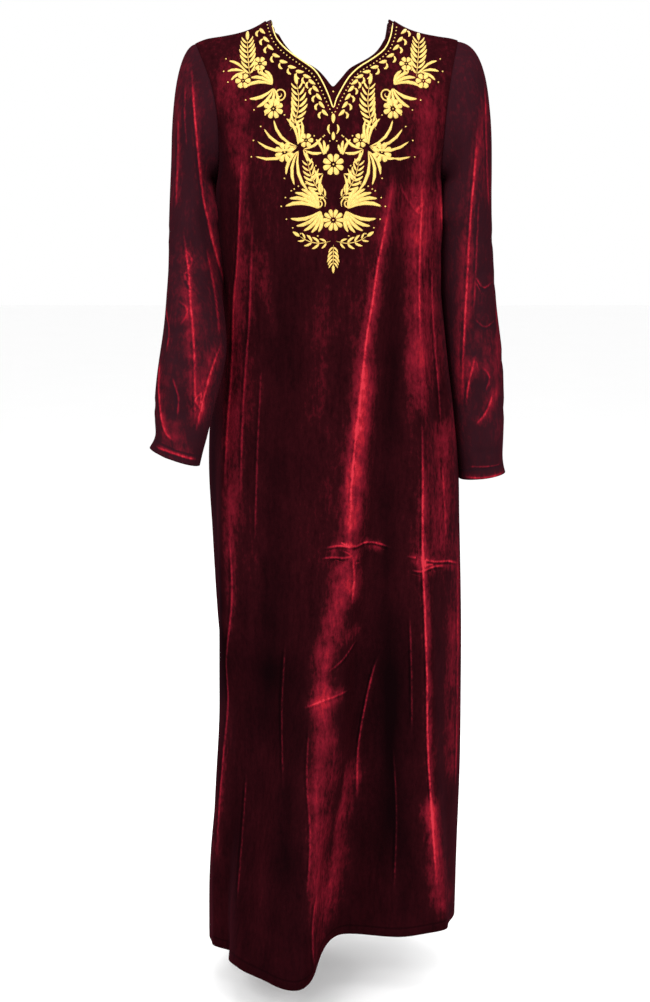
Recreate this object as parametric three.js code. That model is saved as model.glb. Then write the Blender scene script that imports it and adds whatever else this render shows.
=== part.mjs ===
// An ankle-length velvet abaya with long set-in sleeves, hollow, in the form that it keeps when it is worn.
// Millimetres. +Z is up, the front faces -Y, and +X is to the right as the front is seen.
// The origin lies midway between the two neck points of the shoulder seams, where shoulders carry it.
import * as THREE from "three";

// The cloth
const WALL = 1.6; // velvet with its pile
const BINDING_WALL = 2.2; // the same velvet, folded over the neck edge
const SEAM_GAP = 0.3;

// The net of cloth that the pieces are cut from
const ROWS = 36; // from the hem to the shoulder seam
const NOTCH_ROW = 25; // the centre line meets the neck edge here
const ARMPIT_ROW = 26; // the side seam meets the armhole here
const COLUMNS = 17; // from the centre line to the side seam
const RINGS = 24; // from the armhole to the cuff
const ROW_SAMPLES = 180; // points that measure a row before its columns are spaced along it
const ELLIPSE_WEIGHT = 0.82; // 0.71 would be an ellipse; a hanging gown is a little squarer
const CREST_BREADTH = 1.35; // 1 gives folds the profile of a cosine, and more gives them broader crests
const SEAM_HOLD = 26; // folds die out over this length of cloth beside a seam
const INNER_DRAW = 2; // powers by which a row is drawn to its ends: a higher one acts nearer the end
const OUTER_DRAW = 3;
const HALVINGS = 30; // steps of a search by halving
const HALF_TURN = 180; // degrees

const FACES = ["front", "back"];
const OUT = { front: -1, back: 1 }; // which way along Y a face looks
const SIDES = [
  { name: "left", sign: -1 },
  { name: "right", sign: 1 },
];

// Side seams, from the hem to the armpit: half widths to the left and right, and how far back they run
const SIDE_SEAM = [
  { z: -1404, left: 197, right: 205, y: 4 },
  { z: -1290, left: 195, right: 207, y: 12 },
  { z: -1160, left: 180, right: 210, y: 13 },
  { z: -1085, left: 168, right: 210, y: 12 },
  { z: -1000, left: 166, right: 209, y: 11 },
  { z: -920, left: 174, right: 208, y: 10 },
  { z: -800, left: 180, right: 204, y: 8 },
  { z: -700, left: 183, right: 199, y: 8 },
  { z: -600, left: 181, right: 190, y: 8 },
  { z: -500, left: 170, right: 172, y: 7 },
  { z: -400, left: 160, right: 161, y: 6 },
  { z: -320, left: 156, right: 156, y: 4 },
  { z: -270, left: 158, right: 158, y: 2 },
  { z: -238, left: 166, right: 165, y: 0 },
];

// Shoulder seams, from the neck point to the arm, and the same slope carried on to the middle
const SHOULDER = [
  { x: 0, z: 36 },
  { x: 40, z: 24 },
  { x: 70, z: 11 },
  { x: 93, z: -3 },
  { x: 110, z: -12.5 },
  { x: 130, z: -19.5 },
  { x: 155, z: -24.5 },
  { x: 180, z: -28.5 },
  { x: 196, z: -35 },
];

// Depth of the upper body at the middle, by how far it lies below the shoulder line
const YOKE = [
  { below: 0, front: 3, back: 3 },
  { below: 8, front: -13, back: 18 },
  { below: 17, front: -25, back: 30 },
  { below: 32, front: -37, back: 42 },
  { below: 56, front: -51, back: 56 },
  { below: 90, front: -69, back: 69 },
  { below: 125, front: -86, back: 83 },
  { below: 167, front: -101, back: 93 },
  { below: 236, front: -124, back: 103 },
  { below: 306, front: -134, back: 103 },
];

// Depth of the lower body at the middle, by height, before the folds
const SKIRT = [
  { z: -1404, front: -98, back: 122 },
  { z: -1200, front: -104, back: 124 },
  { z: -1000, front: -110, back: 124 },
  { z: -800, front: -117, back: 122 },
  { z: -640, front: -122, back: 119 },
  { z: -500, front: -124, back: 106 },
  { z: -420, front: -127, back: 99 },
  { z: -340, front: -133, back: 99 },
  { z: -270, front: -134, back: 103 },
];
const YOKE_STARTS = -310; // the two tables blend from here
const YOKE_RULES = -200; // up to here

// Half width of the level sections of the yoke, which the armholes cut short
const YOKE_REACH = [
  { z: -262, reach: 158 },
  { z: -238, reach: 168 },
  { z: -200, reach: 198 },
  { z: -160, reach: 250 },
  { z: -131, reach: 300 },
  { z: -60, reach: 400 },
];

// Neck edge of the front panel, from the notch to the neck point, with the finished edge of the binding.
// It hangs a little to the right.
const NECK_FRONT = [
  { left: -4, right: 4, y: -101, z: -131, rimLeft: -4, rimRight: 4, rimY: -89, rimZ: -104 },
  { left: 5.5, right: 10.5, y: -97, z: -117, rimLeft: 1, rimRight: 10, rimY: -85, rimZ: -96 },
  { left: 13.5, right: 16.5, y: -92, z: -103, rimLeft: 9, rimRight: 19, rimY: -80, rimZ: -86 },
  { left: 21.5, right: 25, y: -86, z: -91, rimLeft: 17.5, rimRight: 25.5, rimY: -75, rimZ: -77 },
  { left: 32, right: 37, y: -79, z: -80, rimLeft: 28.5, rimRight: 36, rimY: -69, rimZ: -70.5 },
  { left: 45, right: 53, y: -71, z: -71, rimLeft: 41, rimRight: 50, rimY: -62, rimZ: -63.5 },
  { left: 60, right: 69, y: -61, z: -60, rimLeft: 53, rimRight: 64, rimY: -53, rimZ: -54 },
  { left: 71, right: 81, y: -50, z: -47, rimLeft: 63.5, rimRight: 73, rimY: -44, rimZ: -42 },
  { left: 79, right: 87, y: -38, z: -33.5, rimLeft: 71, rimRight: 79, rimY: -34, rimZ: -29.5 },
  { left: 85, right: 90, y: -25, z: -20.5, rimLeft: 77.5, rimRight: 82, rimY: -22, rimZ: -16.5 },
  { left: 90, right: 92, y: -11, z: -9, rimLeft: 82.5, rimRight: 83.5, rimY: -9, rimZ: -5 },
  { left: 93, right: 93, y: 3, z: -3, rimLeft: 84.5, rimRight: 84.5, rimY: 3, rimZ: 1.5 },
];

// Neck edge of the back panel, from the centre back to the neck point
const NECK_BACK = [
  { left: 0, right: 0, y: 87.6, z: -105.5, rimLeft: 0, rimRight: 0, rimY: 83.6, rimZ: -96 },
  { left: 13.2, right: 13.2, y: 86.3, z: -104.5, rimLeft: 12, rimRight: 12, rimY: 82.3, rimZ: -95 },
  { left: 26.2, right: 26.2, y: 84.3, z: -101.3, rimLeft: 23.8, rimRight: 23.8, rimY: 80.1, rimZ: -92.1 },
  { left: 38.6, right: 38.6, y: 81.3, z: -96.2, rimLeft: 35.1, rimRight: 35.1, rimY: 76.8, rimZ: -87.2 },
  { left: 50.3, right: 50.3, y: 76.6, z: -89.2, rimLeft: 45.7, rimRight: 45.7, rimY: 72.3, rimZ: -80.5 },
  { left: 60.9, right: 60.9, y: 70.8, z: -80.5, rimLeft: 55.3, rimRight: 55.3, rimY: 67, rimZ: -72.2 },
  { left: 70.3, right: 70.3, y: 64.9, z: -70.1, rimLeft: 63.9, rimRight: 63.9, rimY: 61.9, rimZ: -62.3 },
  { left: 78.2, right: 78.2, y: 58.8, z: -58.4, rimLeft: 71.1, rimRight: 71.1, rimY: 56.3, rimZ: -51.2 },
  { left: 84.6, right: 84.6, y: 50.9, z: -45.6, rimLeft: 76.9, rimRight: 76.9, rimY: 48.6, rimZ: -39 },
  { left: 89.2, right: 89.2, y: 40.6, z: -31.9, rimLeft: 81.1, rimRight: 81.1, rimY: 38.8, rimZ: -26 },
  { left: 92.1, right: 92.1, y: 27.4, z: -17.6, rimLeft: 83.6, rimRight: 83.6, rimY: 26.1, rimZ: -12.4 },
  { left: 93, right: 93, y: 3, z: -3, rimLeft: 84.5, rimRight: 84.5, rimY: 3, rimZ: 1.5 },
];

// Armholes, from the armpit to the shoulder tip. The left one sits a little farther out.
const ARMHOLE = {
  front: [
    { left: 166, right: 165, y: 0, z: -238 },
    { left: 163, right: 162, y: -24, z: -220 },
    { left: 160, right: 163, y: -42, z: -196 },
    { left: 160, right: 165, y: -53, z: -160 },
    { left: 163, right: 168, y: -57, z: -124 },
    { left: 172, right: 173, y: -51, z: -88 },
    { left: 184, right: 179, y: -34, z: -58 },
    { left: 193, right: 184, y: -14, z: -38 },
    { left: 196, right: 186, y: 3, z: -32 },
  ],
  back: [
    { left: 166, right: 165, y: 0, z: -238 },
    { left: 164, right: 163, y: 24, z: -222 },
    { left: 163, right: 166, y: 44, z: -198 },
    { left: 165, right: 168, y: 57, z: -160 },
    { left: 170, right: 172, y: 62, z: -122 },
    { left: 179, right: 177, y: 55, z: -84 },
    { left: 188, right: 181, y: 39, z: -56 },
    { left: 194, right: 185, y: 21, z: -39 },
    { left: 196, right: 186, y: 3, z: -32 },
  ],
};

// How a row slopes between its ends. With level 1 it slopes evenly, and with more it levels off before it
// reaches the side.
const ROW_SLOPE = [
  { row: 0, level: 2 },
  { row: 17, level: 2 },
  { row: 24, level: 2.4 },
  { row: 27, level: 2.4 },
  { row: 30, level: 1.9 },
  { row: 33, level: 1.35 },
  { row: 36, level: 1 },
];

// Columns that follow a line on the cloth, counted from the middle: crests and valleys of large front folds
const FRONT_LINES = [
  { column: -11, fold: "leftRidge" },
  { column: 0, fold: "lobe" },
  { column: 6, fold: "valley" },
  { column: 11, fold: "rightRidge" },
];
const LINES_HOLD = 15; // up to this row the columns keep to those lines
const LINES_EASE = 23; // and from this row they are evenly spaced

// Folds of the front. Each follows x down the height z; height is how far its crest stands out, and it dies
// out over the widths to its left and right. The lobe is the large one, which swings forward at the hem.
const FRONT_FOLDS = {
  lobe: [
    { z: -150, x: 94, height: 0, left: 34, right: 26 },
    { z: -235, x: 87, height: 6, left: 36, right: 26 },
    { z: -320, x: 77, height: 8, left: 40, right: 28 },
    { z: -410, x: 60, height: 10, left: 44, right: 30 },
    { z: -540, x: 41, height: 12, left: 48, right: 32 },
    { z: -650, x: 30, height: 14, left: 54, right: 35 },
    { z: -790, x: 14, height: 19, left: 62, right: 42 },
    { z: -930, x: -6, height: 30, left: 78, right: 54 },
    { z: -1030, x: -13, height: 42, left: 90, right: 60 },
    { z: -1115, x: -20, height: 54, left: 98, right: 54 },
    { z: -1200, x: -26, height: 64, left: 102, right: 46 },
    { z: -1290, x: -32, height: 74, left: 106, right: 36 },
    { z: -1380, x: -35, height: 82, left: 116, right: 33 },
    { z: -1445, x: -37, height: 85, left: 126, right: 30 },
  ],
  valley: [
    { z: -180, x: 118, height: 0, left: 24, right: 20 },
    { z: -300, x: 110, height: -4, left: 26, right: 20 },
    { z: -420, x: 99, height: -7, left: 28, right: 24 },
    { z: -650, x: 84, height: -10, left: 36, right: 34 },
    { z: -900, x: 62, height: -16, left: 44, right: 52 },
    { z: -1115, x: 52, height: -27, left: 40, right: 70 },
    { z: -1290, x: 32, height: -33, left: 30, right: 90 },
    { z: -1445, x: 15, height: -36, left: 26, right: 120 },
  ],
  rightRidge: [
    { z: -170, x: 136, height: 0, left: 20, right: 18 },
    { z: -260, x: 134, height: 5, left: 20, right: 18 },
    { z: -470, x: 131, height: 7, left: 22, right: 22 },
    { z: -735, x: 134, height: 8, left: 26, right: 26 },
    { z: -900, x: 145, height: 9, left: 30, right: 28 },
    { z: -1115, x: 151, height: 11, left: 34, right: 30 },
    { z: -1240, x: 162, height: 13, left: 36, right: 28 },
    { z: -1340, x: 172, height: 14, left: 38, right: 24 },
    { z: -1445, x: 176, height: 14, left: 38, right: 24 },
  ],
  leftRidge: [
    { z: -170, x: -134, height: 0, left: 20, right: 22 },
    { z: -250, x: -131, height: 6, left: 20, right: 24 },
    { z: -360, x: -131, height: 8, left: 20, right: 24 },
    { z: -470, x: -143, height: 9, left: 20, right: 26 },
    { z: -720, x: -157, height: 11, left: 20, right: 30 },
    { z: -980, x: -161, height: 12, left: 16, right: 32 },
    { z: -1160, x: -170, height: 11, left: 16, right: 32 },
    { z: -1290, x: -180, height: 8, left: 14, right: 26 },
    { z: -1445, x: -184, height: 4, left: 14, right: 20 },
  ],
  leftHollow: [
    { z: -300, x: -66, height: 0, left: 50, right: 50 },
    { z: -420, x: -70, height: -5, left: 54, right: 60 },
    { z: -650, x: -78, height: -8, left: 60, right: 60 },
    { z: -900, x: -92, height: -7, left: 60, right: 60 },
    { z: -1100, x: -120, height: 0, left: 50, right: 50 },
  ],
  rightSide: [
    { z: -200, x: 151, height: 0, left: 22, right: 22 },
    { z: -255, x: 151, height: 15, left: 26, right: 28 },
    { z: -320, x: 149, height: 13, left: 26, right: 28 },
    { z: -400, x: 154, height: 9, left: 28, right: 28 },
    { z: -500, x: 165, height: 9, left: 28, right: 28 },
    { z: -600, x: 176, height: 9, left: 28, right: 28 },
    { z: -690, x: 189, height: 4, left: 28, right: 28 },
    { z: -760, x: 196, height: 0, left: 28, right: 28 },
  ],
  leftSide: [
    { z: -200, x: -152, height: 0, left: 24, right: 22 },
    { z: -250, x: -152, height: 15, left: 28, right: 24 },
    { z: -320, x: -149, height: 12, left: 28, right: 24 },
    { z: -390, x: -150, height: 0, left: 28, right: 24 },
  ],
  lobeCorner: [
    { z: -1180, x: -132, height: 0, left: 26, right: 50 },
    { z: -1300, x: -137, height: 14, left: 26, right: 56 },
    { z: -1445, x: -142, height: 32, left: 24, right: 62 },
  ],
  hemNotch: [
    { z: -1230, x: -166, height: 0, left: 14, right: 14 },
    { z: -1330, x: -166, height: -6, left: 15, right: 15 },
    { z: -1445, x: -166, height: -13, left: 16, right: 16 },
  ],
};

// Folds of the back, plain and long, deeper towards the hem
const BACK_FOLDS = {
  outerLeft: [
    { z: -260, x: -96, height: 0, left: 26, right: 26 },
    { z: -600, x: -104, height: 8, left: 34, right: 34 },
    { z: -1000, x: -112, height: 16, left: 40, right: 42 },
    { z: -1445, x: -124, height: 24, left: 42, right: 48 },
  ],
  innerLeft: [
    { z: -420, x: -48, height: 0, left: 28, right: 28 },
    { z: -760, x: -52, height: -10, left: 34, right: 34 },
    { z: -1100, x: -54, height: -17, left: 40, right: 40 },
    { z: -1445, x: -56, height: -22, left: 44, right: 44 },
  ],
  middle: [
    { z: -300, x: 12, height: 0, left: 30, right: 30 },
    { z: -640, x: 10, height: 8, left: 38, right: 36 },
    { z: -1000, x: 6, height: 15, left: 44, right: 42 },
    { z: -1445, x: 4, height: 22, left: 48, right: 46 },
  ],
  innerRight: [
    { z: -460, x: 62, height: 0, left: 24, right: 24 },
    { z: -820, x: 66, height: -11, left: 32, right: 32 },
    { z: -1200, x: 68, height: -17, left: 38, right: 38 },
    { z: -1445, x: 70, height: -20, left: 40, right: 40 },
  ],
  outerRight: [
    { z: -240, x: 112, height: 0, left: 26, right: 24 },
    { z: -560, x: 116, height: 9, left: 32, right: 30 },
    { z: -980, x: 124, height: 15, left: 40, right: 36 },
    { z: -1445, x: 132, height: 22, left: 44, right: 40 },
  ],
};

// How far the hem hangs below the level of the side seams: the front dips under its lobe
const HEM_DROP = {
  front: [
    { x: -188, drop: 33 },
    { x: -166, drop: 36 },
    { x: -140, drop: 27 },
    { x: -95, drop: 28 },
    { x: -45, drop: 34 },
    { x: -20, drop: 24 },
    { x: -4, drop: -1 },
    { x: 16, drop: -1 },
    { x: 60, drop: 0 },
    { x: 110, drop: -2 },
    { x: 150, drop: -5 },
    { x: 190, drop: -7 },
  ],
  back: [
    { x: -188, drop: 33 },
    { x: -120, drop: 12 },
    { x: 0, drop: 3 },
    { x: 190, drop: -7 },
  ],
};
const HEM_DROP_FADES = 420; // the dip has died out this far above the hem
const HEM_Z = SIDE_SEAM[0].z;
const ARMPIT_Z = SIDE_SEAM[SIDE_SEAM.length - 1].z;

// Sleeves, from the armhole to the cuff. A ring runs through its outer and inner point; y is its middle and
// depth half its extent from front to back. The left forearm reaches forward, over the side of the front.
const SLEEVE = {
  left: [
    { outerX: 196, outerZ: -35, innerX: 166, innerZ: -238, y: 1, depth: 60 },
    { outerX: 208, outerZ: -44, innerX: 174, innerZ: -241, y: 0, depth: 63 },
    { outerX: 219, outerZ: -70, innerX: 174, innerZ: -248, y: -1, depth: 64 },
    { outerX: 226, outerZ: -106, innerX: 171, innerZ: -258, y: -3, depth: 64 },
    { outerX: 230, outerZ: -148, innerX: 167, innerZ: -273, y: -7, depth: 63 },
    { outerX: 232, outerZ: -200, innerX: 163.5, innerZ: -294, y: -14, depth: 61 },
    { outerX: 234, outerZ: -250, innerX: 162, innerZ: -318, y: -26, depth: 59 },
    { outerX: 235, outerZ: -300, innerX: 161, innerZ: -348, y: -42, depth: 56 },
    { outerX: 234, outerZ: -350, innerX: 157, innerZ: -384, y: -64, depth: 53 },
    { outerX: 235.5, outerZ: -400, innerX: 151, innerZ: -424, y: -90, depth: 50 },
    { outerX: 240, outerZ: -446, innerX: 147, innerZ: -464, y: -108, depth: 47 },
    { outerX: 247, outerZ: -490, innerX: 154, innerZ: -507, y: -118, depth: 44 },
    { outerX: 252, outerZ: -534, innerX: 166, innerZ: -552, y: -124, depth: 41 },
    { outerX: 252, outerZ: -572, innerX: 176, innerZ: -592, y: -128, depth: 38 },
    { outerX: 251, outerZ: -590, innerX: 182, innerZ: -612, y: -130, depth: 36 },
    { outerX: 260, outerZ: -606, innerX: 187, innerZ: -633, y: -132, depth: 38 },
  ],
  right: [
    { outerX: 186, outerZ: -32, innerX: 165, innerZ: -238, y: 1, depth: 60 },
    { outerX: 203, outerZ: -37, innerX: 173, innerZ: -241, y: 2, depth: 63 },
    { outerX: 218, outerZ: -55, innerX: 173, innerZ: -248, y: 3, depth: 64 },
    { outerX: 229, outerZ: -88, innerX: 170, innerZ: -259, y: 4, depth: 65 },
    { outerX: 236, outerZ: -138, innerX: 166, innerZ: -275, y: 5, depth: 64 },
    { outerX: 239, outerZ: -192, innerX: 164, innerZ: -296, y: 6, depth: 63 },
    { outerX: 240, outerZ: -245, innerX: 163, innerZ: -322, y: 7, depth: 61 },
    { outerX: 242, outerZ: -300, innerX: 164, innerZ: -354, y: 8, depth: 59 },
    { outerX: 246, outerZ: -355, innerX: 167, innerZ: -395, y: 8, depth: 57 },
    { outerX: 251, outerZ: -410, innerX: 172, innerZ: -438, y: 8, depth: 55 },
    { outerX: 259, outerZ: -462, innerX: 177, innerZ: -482, y: 7, depth: 52 },
    { outerX: 264, outerZ: -515, innerX: 183, innerZ: -530, y: 5, depth: 49 },
    { outerX: 266, outerZ: -566, innerX: 189, innerZ: -577, y: 3, depth: 45 },
    { outerX: 266, outerZ: -612, innerX: 195, innerZ: -622, y: 1, depth: 41 },
    { outerX: 265, outerZ: -645, innerX: 199.5, innerZ: -655, y: 0, depth: 38 },
    { outerX: 270, outerZ: -666, innerX: 200, innerZ: -676, y: 0, depth: 39 },
  ],
};
const SLEEVE_BLEND = 3.2; // stations over which the cut of the armhole eases into even rings

// Creases across the sleeves: along counts stations from the armhole, and angle is in degrees from the
// outer side, round the front
const SLEEVE_FOLDS = {
  left: [
    { along: 7.2, reach: 1.5, angle: 95, spread: 70, height: -7 },
    { along: 8.9, reach: 1.1, angle: 70, spread: 80, height: 6 },
    { along: 9.9, reach: 0.9, angle: 120, spread: 60, height: -7 },
    { along: 11.0, reach: 0.9, angle: 80, spread: 70, height: 5 },
    { along: 12.2, reach: 0.8, angle: 110, spread: 60, height: -5 },
    { along: 8.4, reach: 1.6, angle: 260, spread: 80, height: -6 },
    { along: 10.6, reach: 1.2, angle: 240, spread: 70, height: 5 },
    { along: 4.6, reach: 2.2, angle: 60, spread: 45, height: -4 },
  ],
  right: [
    { along: 6.0, reach: 2.6, angle: 120, spread: 40, height: -5 },
    { along: 9.4, reach: 1.3, angle: 75, spread: 70, height: -6 },
    { along: 10.6, reach: 1.0, angle: 100, spread: 70, height: 5 },
    { along: 11.7, reach: 0.9, angle: 70, spread: 60, height: -5 },
    { along: 12.8, reach: 0.8, angle: 110, spread: 70, height: 3 },
    { along: 9.0, reach: 1.8, angle: 255, spread: 80, height: -5 },
    { along: 4.2, reach: 2.2, angle: 70, spread: 40, height: -4 },
  ],
};

const VELVET = { color: 0x4a0a16, roughness: 0.7, metalness: 0 };
const VELVET_BAND = { color: 0x5a1020, roughness: 0.65, metalness: 0 };

const clamp = THREE.MathUtils.clamp;
const lerp = THREE.MathUtils.lerp;
const smoothstep = THREE.MathUtils.smoothstep;

// Reads a column of a table at a place between its rows, on a smooth curve through them.
function read(table, by, place, column) {
  const climbing = table[table.length - 1][by] > table[0][by];
  const at = (i) => table[clamp(i, 0, table.length - 1)];
  let i = 0;
  while (i < table.length - 2 && (climbing ? place > table[i + 1][by] : place < table[i + 1][by])) {
    i += 1;
  }
  const span = at(i + 1)[by] - at(i)[by];
  const t = clamp((place - at(i)[by]) / span, 0, 1);
  const slope = (j) => {
    const run = at(j + 1)[by] - at(j - 1)[by];
    return run === 0 ? 0 : ((at(j + 1)[column] - at(j - 1)[column]) / run) * span;
  };
  const [a, b, da, db] = [at(i)[column], at(i + 1)[column], slope(i), slope(i + 1)];
  const t2 = t * t;
  const t3 = t2 * t;
  return a * (2 * t3 - 3 * t2 + 1) + da * (t3 - 2 * t2 + t) + b * (3 * t2 - 2 * t3) + db * (t3 - t2);
}

// Evenly spaced numbers from 0 to 1.
const evenShares = (steps) => Array.from({ length: steps + 1 }, (_, step) => step / steps);

// A table with a running number in each row, so that it can be read by its order.
function numbered(table) {
  return table.map((row, order) => ({ ...row, order }));
}

// Where the middle of a face would be at this height and this far from the middle.
function middleDepth(face, x, z) {
  const shoulder = read(SHOULDER, "x", Math.abs(x), "z");
  const yoke = read(YOKE, "below", shoulder - z, face);
  return lerp(read(SKIRT, "z", z, face), yoke, smoothstep(z, YOKE_STARTS, YOKE_RULES));
}

// Half width of the level section at this height.
function reachAt(side, z) {
  return z < YOKE_REACH[0].z ? read(SIDE_SEAM, "z", z, side.name) : read(YOKE_REACH, "z", z, "reach");
}

// How far across and how far forward a conic has come at s, as shares of its half width and its depth.
function conic(s) {
  const [a, b, c] = [(1 - s) ** 2, 2 * s * (1 - s) * ELLIPSE_WEIGHT, s * s];
  return { across: (b + c) / (a + b + c), deep: (a + b) / (a + b + c) };
}

// The place on the conic that lies this share of its half width across.
function placeAcross(share) {
  let [low, high] = [0, 1];
  for (let k = 0; k < HALVINGS; k += 1) {
    const middle = (low + high) / 2;
    if (conic(middle).across < share) low = middle;
    else high = middle;
  }
  return high;
}

// A point of the smooth body, without folds.
function bodyPoint(face, side, place, z) {
  const { across, deep } = conic(place);
  const x = side.sign * reachAt(side, z) * across;
  const seam = read(SIDE_SEAM, "z", z, "y");
  return new THREE.Vector3(x, lerp(seam, middleDepth(face, x, z), deep), z);
}

// Inner end of a row: on the centre line up to the neck, then on the neck edge.
function innerEnd(face, side, row) {
  const neck = face === "front" ? NECK_FRONT : NECK_BACK;
  if (row >= NOTCH_ROW) {
    const { y, z, [side.name]: x } = neck[row - NOTCH_ROW];
    return new THREE.Vector3(side.sign * x, y, z);
  }
  return bodyPoint(face, side, 0, lerp(HEM_Z, neck[0].z, row / NOTCH_ROW));
}

// Outer end of a row: on the side seam up to the armpit, then on the armhole.
function outerEnd(face, side, row) {
  if (row <= ARMPIT_ROW) {
    const z = lerp(HEM_Z, ARMPIT_Z, row / ARMPIT_ROW);
    const x = side.sign * read(SIDE_SEAM, "z", z, side.name);
    return new THREE.Vector3(x, read(SIDE_SEAM, "z", z, "y"), z);
  }
  const armhole = numbered(ARMHOLE[face]);
  const place = ((row - ARMPIT_ROW) / (ROWS - ARMPIT_ROW)) * (armhole.length - 1);
  const [x, y, z] = [side.name, "y", "z"].map((column) => read(armhole, "order", place, column));
  return new THREE.Vector3(side.sign * x, y, z);
}

// Points along a shoulder seam.
function shoulderLine(face, side) {
  const ends = [innerEnd(face, side, ROWS), outerEnd(face, side, ROWS)];
  return evenShares(ROW_SAMPLES).map((s) => {
    const point = ends[0].clone().lerp(ends[1], s);
    return point.setZ(read(SHOULDER, "x", Math.abs(point.x), "z"));
  });
}

// Points along one half of a row as it would hang without folds: over the smooth body, and drawn to its
// two ends. The upper rows follow the curve of the shoulder.
function smoothHalf(face, side, row) {
  if (row === ROWS) return shoulderLine(face, side);
  const ends = [innerEnd(face, side, row), outerEnd(face, side, row)];
  const [from, to] = ends.map(({ x, z }) => placeAcross(Math.abs(x) / reachAt(side, z)));
  const level = read(ROW_SLOPE, "row", row, "level");
  const shoulders = ends.map(({ x }) => read(SHOULDER, "x", Math.abs(x), "z"));
  const curved = smoothstep(row, ARMPIT_ROW, ROWS - 1);
  const line = evenShares(ROW_SAMPLES).map((s) => {
    const z = lerp(ends[1].z, ends[0].z, (1 - s) ** level);
    const { x } = bodyPoint(face, side, lerp(from, to, s), z);
    const straight = lerp(shoulders[0], shoulders[1], (x - ends[0].x) / (ends[1].x - ends[0].x));
    const sag = read(SHOULDER, "x", Math.abs(x), "z") - straight;
    return bodyPoint(face, side, lerp(from, to, s), z + sag * curved);
  });
  const offInner = ends[0].clone().sub(line[0]);
  const offOuter = ends[1].clone().sub(line[ROW_SAMPLES]);
  line.forEach((point, k) => {
    const s = k / ROW_SAMPLES;
    point.addScaledVector(offInner, (1 - s) ** INNER_DRAW).addScaledVector(offOuter, s ** OUTER_DRAW);
    const drop = read(HEM_DROP[face], "x", point.x, "drop");
    point.z -= drop * (1 - smoothstep(point.z - HEM_Z, 0, HEM_DROP_FADES));
  });
  return line;
}

// How far each point has come along its line.
function runAlong(points) {
  const run = [0];
  for (let k = 1; k < points.length; k += 1) run.push(run[k - 1] + points[k].distanceTo(points[k - 1]));
  return run;
}

// Carries the points of a line, from left to right, outwards by the folds that cross it. It leaves its
// seam ends where they are.
function folded(face, line, seamEnds) {
  const run = runAlong(line);
  const whole = run[run.length - 1];
  const heights = line.map(() => 0);
  for (const fold of Object.values(face === "front" ? FRONT_FOLDS : BACK_FOLDS)) {
    const off = ({ x, z }) => x - read(fold, "z", z, "x");
    const crest = line.findIndex((point, k) => k > 0 && off(line[k - 1]) <= 0 && off(point) > 0);
    if (crest < 0) continue;
    line.forEach(({ z }, k) => {
      if (z > fold[0].z) return;
      const away = run[k] - run[crest];
      const q = Math.abs(away) / read(fold, "z", z, away < 0 ? "left" : "right");
      if (q >= 1) return;
      heights[k] += (read(fold, "z", z, "height") * (1 + Math.cos(Math.PI * q ** CREST_BREADTH))) / 2;
    });
  }
  return line.map((point, k) => {
    const [before, after] = [line[Math.max(k - 2, 0)], line[Math.min(k + 2, line.length - 1)]];
    const out = new THREE.Vector3(-(after.y - before.y), after.x - before.x, 0).normalize();
    const [fromStart, fromEnd] = [run[k], whole - run[k]];
    const held = (seamEnds[0] ? smoothstep(fromStart, 0, SEAM_HOLD) : 1)
      * (seamEnds[1] ? smoothstep(fromEnd, 0, SEAM_HOLD) : 1);
    return point.clone().addScaledVector(out, OUT[face] * heights[k] * held);
  });
}

// Points along a line at these shares of its length.
function pointsAt(line, shares) {
  const run = runAlong(line);
  return shares.map((share) => {
    const target = share * run[run.length - 1];
    const k = clamp(run.findIndex((length) => length >= target), 1, run.length - 1);
    const t = clamp((target - run[k - 1]) / (run[k] - run[k - 1]), 0, 1);
    return line[k - 1].clone().lerp(line[k], t);
  });
}

// The shares of a whole row at which its columns stand, from the left seam to the right one.
function columnShares(face, row, smooth, whole) {
  const even = evenShares(2 * COLUMNS);
  if (face === "back") return even;
  const run = runAlong(whole);
  const knots = [{ column: -COLUMNS, share: 0 }];
  for (const { column, fold } of FRONT_LINES) {
    const k = smooth.findIndex(({ x, z }) => x >= read(FRONT_FOLDS[fold], "z", z, "x"));
    knots.push({ column, share: run[k] / run[run.length - 1] });
  }
  knots.push({ column: COLUMNS, share: 1 });
  const ease = smoothstep(row, LINES_HOLD, LINES_EASE);
  return even.map((share, number) => {
    const column = number - COLUMNS;
    const next = Math.max(knots.findIndex((knot) => knot.column >= column), 1);
    const [a, b] = [knots[next - 1], knots[next]];
    const held = lerp(a.share, b.share, (column - a.column) / (b.column - a.column));
    return lerp(held, share, ease);
  });
}

// A row of a panel, as its two halves from the middle column outwards.
function rowHalves(face, row) {
  const [left, right] = SIDES.map((side) => smoothHalf(face, side, row));
  if (row > NOTCH_ROW) {
    const leftLine = folded(face, [...left].reverse(), [true, false]).reverse();
    const rightLine = folded(face, right, [false, true]);
    const shares = evenShares(COLUMNS);
    return { left: pointsAt(leftLine, shares), right: pointsAt(rightLine, shares) };
  }
  const smooth = [...left].reverse().concat(right.slice(1));
  const whole = folded(face, smooth, [true, true]);
  const points = pointsAt(whole, columnShares(face, row, smooth, whole));
  if (row === NOTCH_ROW) points[COLUMNS] = innerEnd(face, SIDES[1], row);
  return { left: points.slice(0, COLUMNS + 1).reverse(), right: points.slice(COLUMNS) };
}

// Quads of a net of points, turned so that they face out.
function quadsOf(net, reversed, closed = false) {
  const quads = [];
  for (let r = 0; r < net.length - 1; r += 1) {
    const width = net[r].length;
    for (let c = 0; c < (closed ? width : width - 1); c += 1) {
      const d = (c + 1) % width;
      const quad = [net[r][c], net[r][d], net[r + 1][d], net[r + 1][c]];
      quads.push(reversed ? quad.reverse() : quad);
    }
  }
  return quads;
}

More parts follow.
